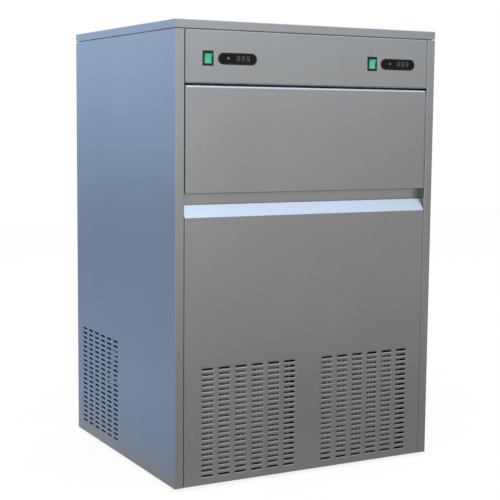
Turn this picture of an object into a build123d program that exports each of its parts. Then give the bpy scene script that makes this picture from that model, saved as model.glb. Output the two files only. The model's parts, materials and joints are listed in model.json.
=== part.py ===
from build123d import *

# Twin finger ice machine: a stainless cabinet with a lift-up ice door, an insulated bin,
# two sets of freezing fingers over tilting water trays, and two refrigeration sets below.
#
# Millimetres, +Z up. X runs to the right of someone facing the front, Y runs to the back.
# The origin lies on the floor, in the middle of the footprint with its fittings.
# Heights below are measured from the cabinet's bottom edge, depths from its front face.

import os
from math import cos, radians, sin

os.makedirs("parts", exist_ok=True)

# Cabinet
cabinet_width = 664.0
cabinet_depth = 593.0
cabinet_height = 1000.0
glide_height = 8.0
sheet = 1.2
bend = 2.0
edge_bend = 1.5
seat = 0.3

# Cabinet sides with their folded front posts
post_width = 21.0
post_return = 21.7
rear_flange = 15.0
top_return = 20.0
lid_height = 18.0
lid_shadow_gap = 2.0
lid_slab_inset = 7.0

# Front panels
panel_side_gap = 1.5
fascia_height = 110.2
fascia_depth = 14.0
recess_height = 23.6
ledge_rise = 27.1
ledge_depth = 20.4

# Vents
slot_length = 28.0
slot_height = 5.0
slot_row_pitch = 11.8
slot_rows = 21
slot_columns = 6
front_slot_pitch = 41.0
front_slot_bottom = 20.0
vent_group_offset = 151.8
side_slot_pitch = 40.5
side_slot_bottom = 30.0
side_slot_inset = 53.9
back_slot_length = 60.0
back_slot_rows = 8
back_slot_bottom = 150.0
back_slot_x = 222.75

# Ice door
door_height = 230.0
door_top_gap = 3.5
door_side_gap = 2.65
door_depth = 17.5
door_top_round = 7.0
door_liner_thickness = 1.5
door_liner_inset = 2.3
plug_clearance = 6.0
plug_depth = 20.0
plug_wall = 2.0
plug_corner = 8.0
gasket_width = 14.0
gasket_gap = 4.0
gasket_top_gap = 1.0
hinge_drop = 12.0
hinge_depth = 12.0
pin_radius = 2.5
pin_length = 18.0
pin_head_radius = 5.0
pin_head_length = 3.0
running_gap = 0.06
bush_sleeve_radius = 3.6
bush_sleeve_length = 5.35
bush_flange_radius = 6.0

# Door frame and bin
frame_depth = 22.0
frame_lap = 26.4
frame_top_drop = 26.0
mouth_half_width = 270.0
mouth_sill = 19.0
mouth_lintel = 44.0
mouth_flange = 9.0
liner_wall = 3.0
side_insulation = 35.5
rear_insulation = 35.0
floor_insulation = 35.0
liner_front_depth = 50.0
shelf_height = 285.0
drain_radius = 10.0
drain_bore = 8.0
drain_lead = 40.0
drain_outlet_height = 40.0
drain_bend = 40.0
drain_sides = 12

# Switches and displays
control_rise = 51.5
left_switch_x = -257.2
switch_to_display = 70.2
control_pair_pitch = 414.0
bezel_width = 25.0
bezel_height = 32.0
bezel_proud = 2.0
switch_body_width = 21.0
switch_body_height = 27.8
switch_body_depth = 24.0
rocker_width = 17.0
rocker_height = 21.0
rocker_throw = 9.0
rocker_pivot_depth = 3.0
rocker_tip_proud = 2.8
rocker_waist_proud = 0.8
rocker_heel_depth = 7.0
rocker_heel_half = 4.0
rocker_gap = 0.4
rocker_pin_radius = 1.5
display_length = 93.0
display_height = 25.0
display_proud = 1.6
display_bevel = 0.8
display_body_length = 85.4
display_body_height = 18.4
display_body_depth = 22.0
lens_length = 86.0
lens_height = 18.0
lens_depth = 0.8
cutout_gap = 0.3

# Freezing fingers
evaporator_x = 139.0
evaporator_lead = 111.0
finger_pitch = 36.0
finger_columns = 6
finger_rows = 2
finger_row_pitch = 38.0
finger_radius = 7.0
finger_length = 47.0
finger_taper = 1.8
finger_tip = 3.0
finger_tip_taper = 35.0
finger_sides = 12
manifold_drop = 40.0
manifold_thickness = 14.0
manifold_bar = 16.0
manifold_corner = 8.0
stud_radius = 4.0

# Rack that carries the fingers and the trays
rack_drop = 33.5
rack_width = 122.0
rack_sheet = 1.5
rack_flange = 20.0
rack_wall_gap = 0.5
ear_thickness = 2.0
ear_front = 20.0
ear_rear = 12.0
ear_drop = 13.3

# Water trays
tray_length = 222.0
tray_width = 76.0
tray_height = 42.0
tray_wall = 2.0
tray_drop = 15.0
tray_corner = 6.0
tray_pivot_setback = 6.0
tray_pin_radius = 4.0
tray_pin_reach = 12.0
tray_lug_radius = 8.0
tray_lug_thickness = 4.0
ear_gap = 2.0
tilt_motor_radius = 24.0
tilt_motor_length = 22.0
tilt_motor_boss = 7.0

# Water circuit
tank_length = 160.0
tank_rear_gap = 52.0
tank_drop = 15.0
tank_height = 72.0
tank_wall = 3.0
slide_lead = 90.0
slide_sill = 35.0
slide_rise = 96.0
slide_sheet = 1.5
slide_slots = 20
slide_slot_pitch = 27.0
slide_slot_width = 9.0
slide_slot_length = 120.0
slide_corner = 18.0
slide_tube_hole = 16.0
pump_x = 200.0
pump_size = 46.0
pump_tube_radius = 4.0
pump_tube_setback = 6.0
pump_outlet_rise = 9.0
pump_outlet_lap = 5.0
inlet_x = 160.0
inlet_height = 120.0
inlet_thread_radius = 13.2
inlet_flange_radius = 20.0
inlet_body_width = 40.0
inlet_body_depth = 32.0
inlet_body_height = 46.0
inlet_hose_radius = 5.0
inlet_hose_inset = 19.3
inlet_spout_rise = 14.0
inlet_spout_lap = 14.0
rear_reach = 14.0
fitting_flange = 2.5
gland_x = -160.0
gland_height = 90.0
gland_radius = 8.0
gland_nut_radius = 11.0
gland_cable_radius = 4.5
gland_thread = 10.0
gland_flange = 9.0
inlet_bore_radius = 8.0
drain_flange_radius = 17.0

# Refrigeration sets
pan_height = 25.0
pan_sheet = 1.5
glide_radius = 20.0
glide_chamfer = 2.0
glide_inset = 90.0
glide_stud_radius = 4.0
glide_stud_height = 14.0
condenser_width = 250.0
condenser_depth = 44.0
condenser_front_depth = 30.0
condenser_height = 238.0
condenser_fins = 25
fin_gap_share = 0.7
fin_gap_depth = 7.0
end_plate = 2.0
shroud_gap = 1.0
shroud_width = 262.0
shroud_height = 262.0
shroud_hole_radius = 103.0
fan_height = 126.0
fan_radius = 95.0
fan_hub_radius = 22.0
fan_hub_length = 20.0
fan_hub_depth = 86.0
fan_blades = 5
blade_thickness = 1.6
blade_root_chord = 30.0
blade_tip_chord = 56.0
blade_pitch = 30.0
blade_overlap = 4.0
fan_shaft_radius = 4.0
fan_shaft_reach = 26.0
fan_motor_radius = 42.0
fan_motor_depth = 118.0
fan_motor_length = 50.0
motor_strap = 2.0
motor_strap_width = 16.0
motor_strap_half_span = 117.0
motor_strap_foot = 12.0
compressor_x = 165.0
compressor_inset = 170.3
compressor_radius = 72.0
compressor_height = 172.0
compressor_seat_height = 20.0
shell_step = 4.0
shell_dish = 14.0
shell_dome = 28.0
shell_seam = 0.52
suction_stub = 14.0
discharge_stub = 8.0
compressor_plate = 3.0
compressor_plate_length = 190.0
compressor_plate_width = 130.0
mount_radius = 11.0
mount_spacing_x = 160.0
mount_spacing_y = 100.0
stub_wall = 1.0
suction_radius = 6.0
suction_cross_drop = 25.0
suction_x = 125.0
discharge_radius = 4.0
discharge_height = 140.0
discharge_x = 300.0
liquid_radius = 3.2
liquid_x = 85.0
liquid_gap_x = 12.0
liquid_turn_depth = 200.0
drier_radius = 11.0
drier_length = 90.0
riser_inset = 18.3
tube_bend = 14.0
tube_sides = 8
tube_hole_gap = 1.0
electrical_box_width = 130.0
electrical_box_depth = 100.0
electrical_box_height = 150.0
electrical_box_bottom = 90.0

# Worked-out places
half_width = cabinet_width / 2
rocker_reach = (rocker_pivot_depth + rocker_tip_proud) * cos(radians(rocker_throw)) + (
    rocker_height / 2
) * sin(radians(rocker_throw))
front_proud = rocker_reach - rocker_pivot_depth
front_y = front_proud - (front_proud + cabinet_depth + rear_reach) / 2
body_top = cabinet_height - lid_height - lid_shadow_gap
inside_half_width = half_width - sheet - seat
opening_half_width = half_width - post_width
panel_half_width = opening_half_width - panel_side_gap
back_panel_depth = cabinet_depth - sheet - seat - sheet
inner_face = back_panel_depth - seat
outer_face = back_panel_depth + sheet
riser_depth = back_panel_depth - riser_inset
inlet_hose_depth = back_panel_depth - inlet_hose_inset
compressor_depth = back_panel_depth - compressor_inset
fascia_bottom = body_top - seat - fascia_height
control_height = fascia_bottom + control_rise
door_top = fascia_bottom - door_top_gap
door_bottom = door_top - door_height
ledge_top = door_bottom - recess_height
ledge_bottom = ledge_top - ledge_rise
frame_bottom = ledge_top - frame_lap
frame_top = door_top - frame_top_drop
mouth_bottom = door_bottom + mouth_sill
mouth_top = door_top - mouth_lintel
liner_half_width = half_width - sheet - side_insulation
liner_rear_depth = back_panel_depth - seat - rear_insulation
liner_floor = shelf_height + floor_insulation
liner_top = body_top - sheet - seat
door_half_width = opening_half_width - door_side_gap
hinge_height = door_top - hinge_drop
gasket_front_depth = door_depth + door_liner_thickness
tank_rear_depth = liner_rear_depth - liner_wall - tank_rear_gap
tank_front_depth = tank_rear_depth - tank_length
tank_bottom = mouth_bottom - tank_drop
drain_depth = tank_front_depth - drain_lead
slide_front_depth = tank_front_depth - slide_lead
slide_front_height = mouth_bottom + slide_sill
slide_rear_height = slide_front_height + slide_rise
evaporator_depth = tank_rear_depth - evaporator_lead
rack_height = liner_top - rack_drop
manifold_height = rack_height - manifold_drop
tray_top = manifold_height - tray_drop
pump_tube_depth = tank_rear_depth - tank_wall - seat - pump_tube_setback
pump_outlet_height = tray_top + pump_outlet_rise
pump_outlet_depth = evaporator_depth + tray_width / 2 - pump_outlet_lap
inlet_spout_height = tank_bottom + tank_height + inlet_spout_rise
inlet_spout_depth = tank_rear_depth - inlet_spout_lap
tray_pivot_depth = evaporator_depth + tray_width / 2 + tray_pivot_setback
shroud_depth = condenser_front_depth + condenser_depth + shroud_gap
finger_row_half = finger_pitch * (finger_columns - 1) / 2


def up(height):
    """Z of a height above the cabinet's bottom edge."""
    return glide_height + height


def back(depth):
    """Y of a depth behind the cabinet's front face."""
    return front_y + depth


def block(x0, x1, depth0, depth1, height0, height1, mode=Mode.ADD):
    """A box between two X values, two depths and two heights."""
    with Locations((x0, back(depth0), up(height0))):
        Box(
            x1 - x0,
            depth1 - depth0,
            height1 - height0,
            align=(Align.MIN, Align.MIN, Align.MIN),
            mode=mode,
        )


def face_plane(depth):
    """A drawing plane parallel to the front, at a depth: its X is X, its Y is up, and it looks forward."""
    return Plane(origin=(0, back(depth), 0), x_dir=(1, 0, 0), z_dir=(0, -1, 0))


def front_disc(x, height, radius, depth0, depth1, mode=Mode.ADD):
    """A cylinder along Y between two depths."""
    with BuildSketch(face_plane(depth0)) as disc:
        with Locations((x, up(height))):
            Circle(radius)
    extrude(disc.sketch, amount=-(depth1 - depth0), mode=mode)


def side_disc(x0, x1, depth, height, radius, mode=Mode.ADD):
    """A cylinder along X between two X values."""
    low, high = min(x0, x1), max(x0, x1)
    with BuildSketch(Plane.YZ.offset(low)) as disc:
        with Locations((back(depth), up(height))):
            Circle(radius)
    extrude(disc.sketch, amount=high - low, mode=mode)


def bent_tube(points, radius, bore=0, arc=tube_bend, sides=tube_sides, mode=Mode.ADD):
    """A tube, drawn with few sides, along straight runs joined by arcs."""
    with BuildLine() as route:
        FilletPolyline(*points, radius=arc)
    start = Plane(origin=route.line @ 0, z_dir=route.line % 0)
    with BuildSketch(start) as section:
        RegularPolygon(radius, sides)
        if bore:
            RegularPolygon(bore, sides, mode=Mode.SUBTRACT)
    sweep(section.sketch, path=route.line, mode=mode)


def punch_vents(plane, middles, column_pitch, bottom):
    """Groups of slots punched through a sheet. The plane lies one sheet in front of it and looks away."""
    height = up(bottom) + slot_row_pitch * (slot_rows - 1) / 2
    with BuildSketch(plane) as slots:
        with Locations(*[(middle, height) for middle in middles]):
            with GridLocations(column_pitch, slot_row_pitch, slot_columns, slot_rows):
                Rectangle(slot_length, slot_height)
    extrude(slots.sketch, amount=-3 * sheet, mode=Mode.SUBTRACT)


def save(piece, label):
    """Label a finished piece and write it."""
    piece.part.label = label
    export_step(piece.part, f"parts/{label}.step")


SIDES = (("left", -1), ("right", 1))


def tube_routes(hand):
    """The centre lines of one set's three copper tubes, as points joined by arcs."""
    suction = [
        (hand * suction_x, compressor_depth, compressor_seat_height + compressor_height + suction_stub),
        (hand * suction_x, compressor_depth, shelf_height - suction_cross_drop),
        (hand * suction_x, riser_depth, shelf_height - suction_cross_drop),
        (hand * suction_x, riser_depth, manifold_height + manifold_thickness / 2),
        (
            hand * suction_x,
            evaporator_depth + finger_row_pitch / 2 + manifold_bar / 2,
            manifold_height + manifold_thickness / 2,
        ),
    ]
    condenser_mid = condenser_front_depth + condenser_depth / 2
    inner_end = vent_group_offset - condenser_width / 2
    outer_end = vent_group_offset + condenser_width / 2
    liquid = [
        (hand * inner_end, condenser_mid, drain_outlet_height),
        (hand * liquid_gap_x, condenser_mid, drain_outlet_height),
        (hand * liquid_gap_x, liquid_turn_depth, drain_outlet_height),
        (hand * liquid_x, liquid_turn_depth, drain_outlet_height),
        (hand * liquid_x, riser_depth, drain_outlet_height),
        (hand * liquid_x, riser_depth, manifold_height + manifold_thickness / 2),
        (
            hand * liquid_x,
            evaporator_depth + finger_row_pitch / 2 + manifold_bar / 2,
            manifold_height + manifold_thickness / 2,
        ),
    ]
    discharge = [
        (hand * (compressor_x + compressor_radius + discharge_stub), compressor_depth, discharge_height),
        (hand * discharge_x, compressor_depth, discharge_height),
        (hand * discharge_x, condenser_mid, discharge_height),
        (hand * outer_end, condenser_mid, discharge_height),
    ]
    return {
        name: [(x, back(depth), up(height)) for x, depth, height in points]
        for name, points in (("suction", suction), ("liquid", liquid), ("discharge", discharge))
    }


def inlet_hose_route():
    """The centre line of the hose from the inlet valve to the water tank."""
    return [
        (inlet_x, back(inlet_hose_depth), up(inlet_height + inlet_body_height / 2)),
        (inlet_x, back(inlet_hose_depth), up(inlet_spout_height)),
        (inlet_x, back(inlet_spout_depth), up(inlet_spout_height)),
    ]


def clear_tubes():
    """Holes round each riser, through whatever is being built."""
    for _, hand in SIDES:
        for name, radius in (("suction", suction_radius), ("liquid", liquid_radius)):
            bent_tube(tube_routes(hand)[name], radius + tube_hole_gap, mode=Mode.SUBTRACT)
    bent_tube(inlet_hose_route(), inlet_hose_radius + tube_hole_gap, mode=Mode.SUBTRACT)


# Base pan: a folded tray that carries the refrigeration sets
with BuildPart() as base_pan:
    block(-inside_half_width, inside_half_width, frame_depth, back_panel_depth - seat, 0, pan_height)
    offset(amount=-pan_sheet, openings=base_pan.faces().sort_by(Axis.Z)[-1])
    glide_x = half_width - glide_inset
    glide_y = cabinet_depth / 2 - glide_inset
    with Locations((0, back(cabinet_depth / 2), up(0))):
        with GridLocations(2 * glide_x, 2 * glide_y, 2, 2):
            Cylinder(glide_stud_radius + cutout_gap, 4 * pan_sheet, mode=Mode.SUBTRACT)
save(base_pan, "base_pan")

# Glide feet: a low round pad on a short stud under each corner
with BuildPart() as glide_feet:
    with Locations((0, back(cabinet_depth / 2), 0)):
        with GridLocations(2 * glide_x, 2 * glide_y, 2, 2):
            Cylinder(
                glide_radius,
                glide_height,
                align=(Align.CENTER, Align.CENTER, Align.MIN),
            )
    chamfer(glide_feet.faces().sort_by(Axis.Z)[:4].edges(), glide_chamfer)
    with Locations((0, back(cabinet_depth / 2), 0)):
        with GridLocations(2 * glide_x, 2 * glide_y, 2, 2):
            Cylinder(
                glide_stud_radius,
                glide_height + glide_stud_height,
                align=(Align.CENTER, Align.CENTER, Align.MIN),
            )
save(glide_feet, "glide_feet")

# Cabinet sides: one sheet folded into the side, the front post and its return into the opening
for side, hand in SIDES:
    with BuildPart() as side_panel:
        with BuildSketch(Plane.XY.offset(up(0))):
            with BuildLine():
                FilletPolyline(
                    (hand * (half_width - rear_flange), back(cabinet_depth)),
                    (hand * half_width, back(cabinet_depth)),
                    (hand * half_width, back(0)),
                    (hand * opening_half_width, back(0)),
                    (hand * opening_half_width, back(post_return)),
                    radius=bend,
                )
                offset(amount=sheet, side=Side.RIGHT if hand > 0 else Side.LEFT)
            make_face()
        extrude(amount=body_top)
        inner, outer = half_width - top_return, half_width - sheet / 2
        low_x, high_x = sorted((hand * inner, hand * outer))
        block(low_x, high_x, liner_front_depth, cabinet_depth - 2 * rear_flange, body_top - sheet, body_top)
        side_disc(
            hand * (opening_half_width - sheet),
            hand * (opening_half_width + 2 * sheet),
            hinge_depth,
            hinge_height,
            pin_radius + running_gap,
            Mode.SUBTRACT,
        )
        if side == "left":
            middle = cabinet_depth - side_slot_inset - side_slot_pitch * (slot_columns - 1) / 2
            punch_vents(
                Plane.YZ.offset(2 * sheet - half_width),
                [back(middle)],
                side_slot_pitch,
                side_slot_bottom,
            )
    save(side_panel, f"{side}_side_panel")

# Back panel: flat sheet inside the rear flanges, with slots for the warm air and holes for the services
with BuildPart() as back_panel:
    block(
        -inside_half_width,
        inside_half_width,
        back_panel_depth,
        back_panel_depth + sheet,
        seat,
        liner_top,
    )
    with BuildSketch(face_plane(back_panel_depth)):
        for _, hand in SIDES:
            with Locations((hand * back_slot_x, up(back_slot_bottom))):
                with GridLocations(1, slot_row_pitch, 1, back_slot_rows):
                    Rectangle(back_slot_length, slot_height)
        with Locations((inlet_x, up(inlet_height))):
            Circle(inlet_thread_radius + cutout_gap)
        with Locations((0, up(drain_outlet_height))):
            Circle(drain_radius + cutout_gap)
        with Locations((gland_x, up(gland_height))):
            Circle(gland_radius + cutout_gap)
    extrude(amount=3 * sheet, both=True, mode=Mode.SUBTRACT)
save(back_panel, "back_panel")

# Lid: a shallow folded tray turned upside down, flush with the cabinet
with BuildPart() as top_lid:
    block(
        -half_width,
        half_width,
        0,
        cabinet_depth,
        cabinet_height - lid_height,
        cabinet_height,
    )
    fillet(top_lid.edges().filter_by(Axis.Z), bend)
    fillet(top_lid.faces().sort_by(Axis.Z)[-1].edges(), edge_bend)
    offset(amount=-sheet, openings=top_lid.faces().sort_by(Axis.Z)[0])
save(top_lid, "top_lid")

# Lid insulation: a foam slab that fills the lid and holds it just above the cabinet
with BuildPart() as lid_insulation:
    block(
        -half_width + lid_slab_inset,
        half_width - lid_slab_inset,
        lid_slab_inset,
        cabinet_depth - lid_slab_inset,
        body_top,
        cabinet_height - sheet,
    )
save(lid_insulation, "lid_insulation")


def switch_x(hand):
    """X of a switch: the left one, or one pitch further right."""
    return left_switch_x if hand < 0 else left_switch_x + control_pair_pitch


def display_x(hand):
    """X of a display, to the right of its switch."""
    return switch_x(hand) + switch_to_display


# Control fascia: a folded pan across the top, cut out for the switches and displays
with BuildPart() as control_fascia:
    block(
        -panel_half_width,
        panel_half_width,
        0,
        fascia_depth,
        fascia_bottom,
        body_top - seat,
    )
    front = control_fascia.faces().sort_by(Axis.Y)[0]
    fillet(front.edges(), edge_bend)
    offset(amount=-sheet, openings=control_fascia.faces().sort_by(Axis.Y)[-1])
    with BuildSketch(face_plane(0)):
        for _, hand in SIDES:
            with Locations((switch_x(hand), up(control_height))):
                Rectangle(switch_body_width + 2 * cutout_gap, switch_body_height + 2 * cutout_gap)
            with Locations((display_x(hand), up(control_height))):
                SlotOverall(
                    display_body_length + 2 * cutout_gap,
                    display_body_height + 2 * cutout_gap,
                )
    extrude(amount=-2 * sheet, mode=Mode.SUBTRACT)
save(control_fascia, "control_fascia")

# Lower front panel: a folded pan whose top edge leans back as the ledge of the finger recess
with BuildPart() as lower_front_panel:
    with BuildSketch(Plane.YZ.offset(-panel_half_width)):
        with BuildLine():
            Polyline(
                (back(0), up(0)),
                (back(0), up(ledge_bottom)),
                (back(ledge_depth), up(ledge_top)),
                (back(post_return), up(ledge_top)),
                (back(post_return), up(0)),
                close=True,
            )
        make_face()
    extrude(amount=2 * panel_half_width)
    front = lower_front_panel.faces().sort_by(Axis.Y)[0]
    fillet(front.edges(), edge_bend)
    offset(amount=-sheet, openings=lower_front_panel.faces().sort_by(Axis.Y)[-1])
    punch_vents(
        face_plane(-sheet),
        [hand * vent_group_offset for _, hand in SIDES],
        front_slot_pitch,
        front_slot_bottom,
    )
save(lower_front_panel, "lower_front_panel")

# Door frame: the sheet behind the door, with the bin mouth flanged inwards
with BuildPart() as door_frame:
    block(
        -inside_half_width,
        inside_half_width,
        frame_depth,
        frame_depth + sheet,
        frame_bottom,
        frame_top,
    )
    block(
        -mouth_half_width - sheet,
        mouth_half_width + sheet,
        frame_depth,
        frame_depth + mouth_flange,
        mouth_bottom - sheet,
        mouth_top + sheet,
    )
    block(
        -mouth_half_width,
        mouth_half_width,
        frame_depth - sheet,
        frame_depth + 2 * mouth_flange,
        mouth_bottom,
        mouth_top,
        Mode.SUBTRACT,
    )
save(door_frame, "door_frame")

# Shelf under the insulated bin
with BuildPart() as bin_shelf:
    block(
        -inside_half_width,
        inside_half_width,
        frame_depth + sheet,
        back_panel_depth - seat,
        shelf_height - pan_sheet,
        shelf_height,
    )
    with Locations((0, back(drain_depth), up(shelf_height))):
        Cylinder(drain_radius + tube_hole_gap, 4 * pan_sheet, mode=Mode.SUBTRACT)
    clear_tubes()
save(bin_shelf, "bin_shelf")

# Bin liner: a moulded tub, open at the top, with a short sleeve out to the door frame
sleeve = mouth_half_width + sheet + seat
with BuildPart() as bin_liner:
    block(
        -liner_half_width,
        liner_half_width,
        liner_front_depth,
        liner_rear_depth,
        liner_floor,
        liner_top,
    )
    fillet(bin_liner.edges().filter_by(Axis.Z), plug_corner)
    offset(amount=-liner_wall, openings=bin_liner.faces().sort_by(Axis.Z)[-1])
    block(
        -sleeve - liner_wall,
        sleeve + liner_wall,
        frame_depth + sheet + seat,
        liner_front_depth + liner_wall,
        mouth_bottom - sheet - seat - liner_wall,
        mouth_top + sheet + seat + liner_wall,
    )
    block(
        -sleeve,
        sleeve,
        frame_depth,
        liner_front_depth + 2 * liner_wall,
        mouth_bottom - sheet - seat,
        mouth_top + sheet + seat,
        Mode.SUBTRACT,
    )
    with Locations((0, back(drain_depth), up(liner_floor))):
        Cylinder(drain_bore, 3 * liner_wall, mode=Mode.SUBTRACT)
    clear_tubes()
save(bin_liner, "bin_liner")

# Bin insulation: the foam between the liner and the cabinet
with BuildPart() as bin_insulation:
    block(
        -inside_half_width,
        inside_half_width,
        liner_front_depth,
        back_panel_depth - seat,
        shelf_height,
        liner_top,
    )
    block(
        -inside_half_width,
        inside_half_width,
        frame_depth + sheet + seat,
        liner_front_depth,
        shelf_height,
        frame_top,
    )
    with BuildSketch(Plane.XY.offset(up(liner_floor))):
        with Locations((0, back((liner_front_depth + liner_rear_depth) / 2))):
            RectangleRounded(
                2 * liner_half_width,
                liner_rear_depth - liner_front_depth,
                plug_corner,
            )
    extrude(amount=body_top, mode=Mode.SUBTRACT)
    block(
        -sleeve - liner_wall,
        sleeve + liner_wall,
        frame_depth,
        liner_front_depth + liner_wall,
        mouth_bottom - sheet - seat - liner_wall,
        mouth_top + sheet + seat + liner_wall,
        Mode.SUBTRACT,
    )
    with Locations((0, back(drain_depth), up(shelf_height))):
        Cylinder(drain_radius + tube_hole_gap, 3 * floor_insulation, mode=Mode.SUBTRACT)
    clear_tubes()
save(bin_insulation, "bin_insulation")

# Door skin: a folded pan with a rolled top edge
with BuildPart() as door_skin:
    block(-door_half_width, door_half_width, 0, door_depth, door_bottom, door_top)
    front = door_skin.faces().sort_by(Axis.Y)[0]
    top_edge = front.edges().sort_by(Axis.Z)[-1]
    fillet(top_edge, door_top_round)
    front = door_skin.faces().sort_by(Axis.Y)[0]
    fillet(front.edges().sort_by(Axis.Z)[:-1], edge_bend)
    offset(amount=-sheet, openings=door_skin.faces().sort_by(Axis.Y)[-1])
    side_disc(
        -half_width,
        half_width,
        hinge_depth,
        hinge_height,
        bush_sleeve_radius + running_gap,
        Mode.SUBTRACT,
    )
save(door_skin, "door_skin")

# Door core: the foam inside the door, cut away round the hinge bushes
pocket = 2 * bush_sleeve_radius
plug_half_width = mouth_half_width - plug_clearance
plug_bottom = mouth_bottom + plug_clearance
plug_top = mouth_top - plug_clearance
with BuildPart() as door_core:
    block(
        -door_half_width + 2 * sheet,
        door_half_width - 2 * sheet,
        sheet,
        door_depth,
        door_bottom + 2 * sheet,
        door_top - door_top_round,
    )
    block(
        -plug_half_width + 2 * plug_wall,
        plug_half_width - 2 * plug_wall,
        door_depth,
        gasket_front_depth + plug_depth - plug_wall,
        plug_bottom + 2 * plug_wall,
        plug_top - 2 * plug_wall,
    )
    for _, hand in SIDES:
        low_x, high_x = sorted((hand * (door_half_width - 4 * pocket), hand * half_width))
        block(
            low_x,
            high_x,
            sheet,
            door_depth,
            hinge_height - pocket,
            door_top,
            Mode.SUBTRACT,
        )
save(door_core, "door_core")

# Door liner: a moulded inner panel with a raised plug that enters the bin mouth
with BuildPart() as door_liner:
    block(
        -door_half_width + door_liner_inset,
        door_half_width - door_liner_inset,
        door_depth,
        gasket_front_depth,
        door_bottom + door_liner_inset,
        door_top - door_liner_inset,
    )
    with BuildSketch(face_plane(door_depth)):
        with Locations((0, up((plug_bottom + plug_top) / 2))):
            RectangleRounded(2 * plug_half_width, plug_top - plug_bottom, plug_corner)
    extrude(amount=-(door_liner_thickness + plug_depth))
    with BuildSketch(face_plane(door_depth)):
        with Locations((0, up((plug_bottom + plug_top) / 2))):
            RectangleRounded(
                2 * (plug_half_width - plug_wall),
                plug_top - plug_bottom - 2 * plug_wall,
                plug_corner - plug_wall,
            )
    extrude(amount=-(door_liner_thickness + plug_depth - plug_wall), mode=Mode.SUBTRACT)
save(door_liner, "door_liner")

# Door gasket: a soft ring round the plug that closes on the door frame
gasket_inner = mouth_half_width + gasket_gap
with BuildPart() as door_gasket:
    with BuildSketch(face_plane(gasket_front_depth)):
        with Locations((0, up((mouth_bottom + mouth_top) / 2))):
            inner_height = mouth_top - mouth_bottom + 2 * gasket_top_gap
            RectangleRounded(
                2 * (gasket_inner + gasket_width),
                inner_height + 2 * gasket_width,
                plug_corner,
            )
            Rectangle(2 * gasket_inner, inner_height, mode=Mode.SUBTRACT)
    extrude(amount=-(frame_depth - seat - gasket_front_depth))
save(door_gasket, "door_gasket")

# Hinge pins: headed pins through the post returns into the top corners of the door
with BuildPart() as hinge_pins:
    for _, hand in SIDES:
        head = opening_half_width + sheet
        side_disc(
            hand * (head + pin_head_length - pin_length),
            hand * head,
            hinge_depth,
            hinge_height,
            pin_radius,
        )
        side_disc(
            hand * head,
            hand * (head + pin_head_length),
            hinge_depth,
            hinge_height,
            pin_head_radius,
        )
save(hinge_pins, "hinge_pins")

# Hinge bushes: flanged plastic sleeves in the ends of the door
with BuildPart() as hinge_bushes:
    for _, hand in SIDES:
        side_disc(
            hand * (door_half_width - bush_sleeve_length),
            hand * door_half_width,
            hinge_depth,
            hinge_height,
            bush_sleeve_radius,
        )
        side_disc(
            hand * door_half_width,
            hand * (opening_half_width - seat),
            hinge_depth,
            hinge_height,
            bush_flange_radius,
        )
    side_disc(
        -half_width,
        half_width,
        hinge_depth,
        hinge_height,
        pin_radius + running_gap,
        Mode.SUBTRACT,
    )
save(hinge_bushes, "hinge_bushes")

# Rocker switches: a bezel and body snapped into the fascia, and the lit rocker on its own pins
for side, hand in SIDES:
    x = switch_x(hand)
    cavity_half = rocker_height / 2 + (rocker_pivot_depth + rocker_tip_proud) * sin(
        radians(rocker_throw)
    )
    with BuildPart() as switch_housing:
        block(
            x - bezel_width / 2,
            x + bezel_width / 2,
            -bezel_proud,
            0,
            control_height - bezel_height / 2,
            control_height + bezel_height / 2,
        )
        front = switch_housing.faces().sort_by(Axis.Y)[0]
        chamfer(front.edges(), bezel_proud / 2)
        block(
            x - switch_body_width / 2,
            x + switch_body_width / 2,
            0,
            switch_body_depth,
            control_height - switch_body_height / 2,
            control_height + switch_body_height / 2,
        )
        block(
            x - rocker_width / 2 - rocker_gap,
            x + rocker_width / 2 + rocker_gap,
            -2 * bezel_proud,
            rocker_pivot_depth + rocker_heel_depth,
            control_height - cavity_half - rocker_gap,
            control_height + cavity_half + rocker_gap,
            Mode.SUBTRACT,
        )
        side_disc(
            x - switch_body_width,
            x + switch_body_width,
            rocker_pivot_depth,
            control_height,
            rocker_pin_radius + running_gap,
            Mode.SUBTRACT,
        )
    save(switch_housing, f"switch_housing_{side}")

    pivot = Axis((x, back(rocker_pivot_depth), up(control_height)), (1, 0, 0))
    with BuildPart() as switch_rocker:
        with BuildSketch(Plane.YZ.offset(x - rocker_width / 2)):
            with BuildLine():
                Polyline(
                    (back(-rocker_tip_proud), up(control_height - rocker_height / 2)),
                    (back(-rocker_waist_proud), up(control_height)),
                    (back(-rocker_tip_proud), up(control_height + rocker_height / 2)),
                    (back(0), up(control_height + rocker_height / 2)),
                    (back(rocker_heel_depth), up(control_height + rocker_heel_half)),
                    (back(rocker_heel_depth), up(control_height - rocker_heel_half)),
                    (back(0), up(control_height - rocker_height / 2)),
                    close=True,
                )
            make_face()
        extrude(amount=rocker_width)
        side_disc(
            x - switch_body_width / 2,
            x + switch_body_width / 2,
            rocker_pivot_depth,
            control_height,
            rocker_pin_radius,
        )
    switch_rocker.part = switch_rocker.part.rotate(pivot, rocker_throw)
    save(switch_rocker, f"switch_rocker_{side}")

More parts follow.
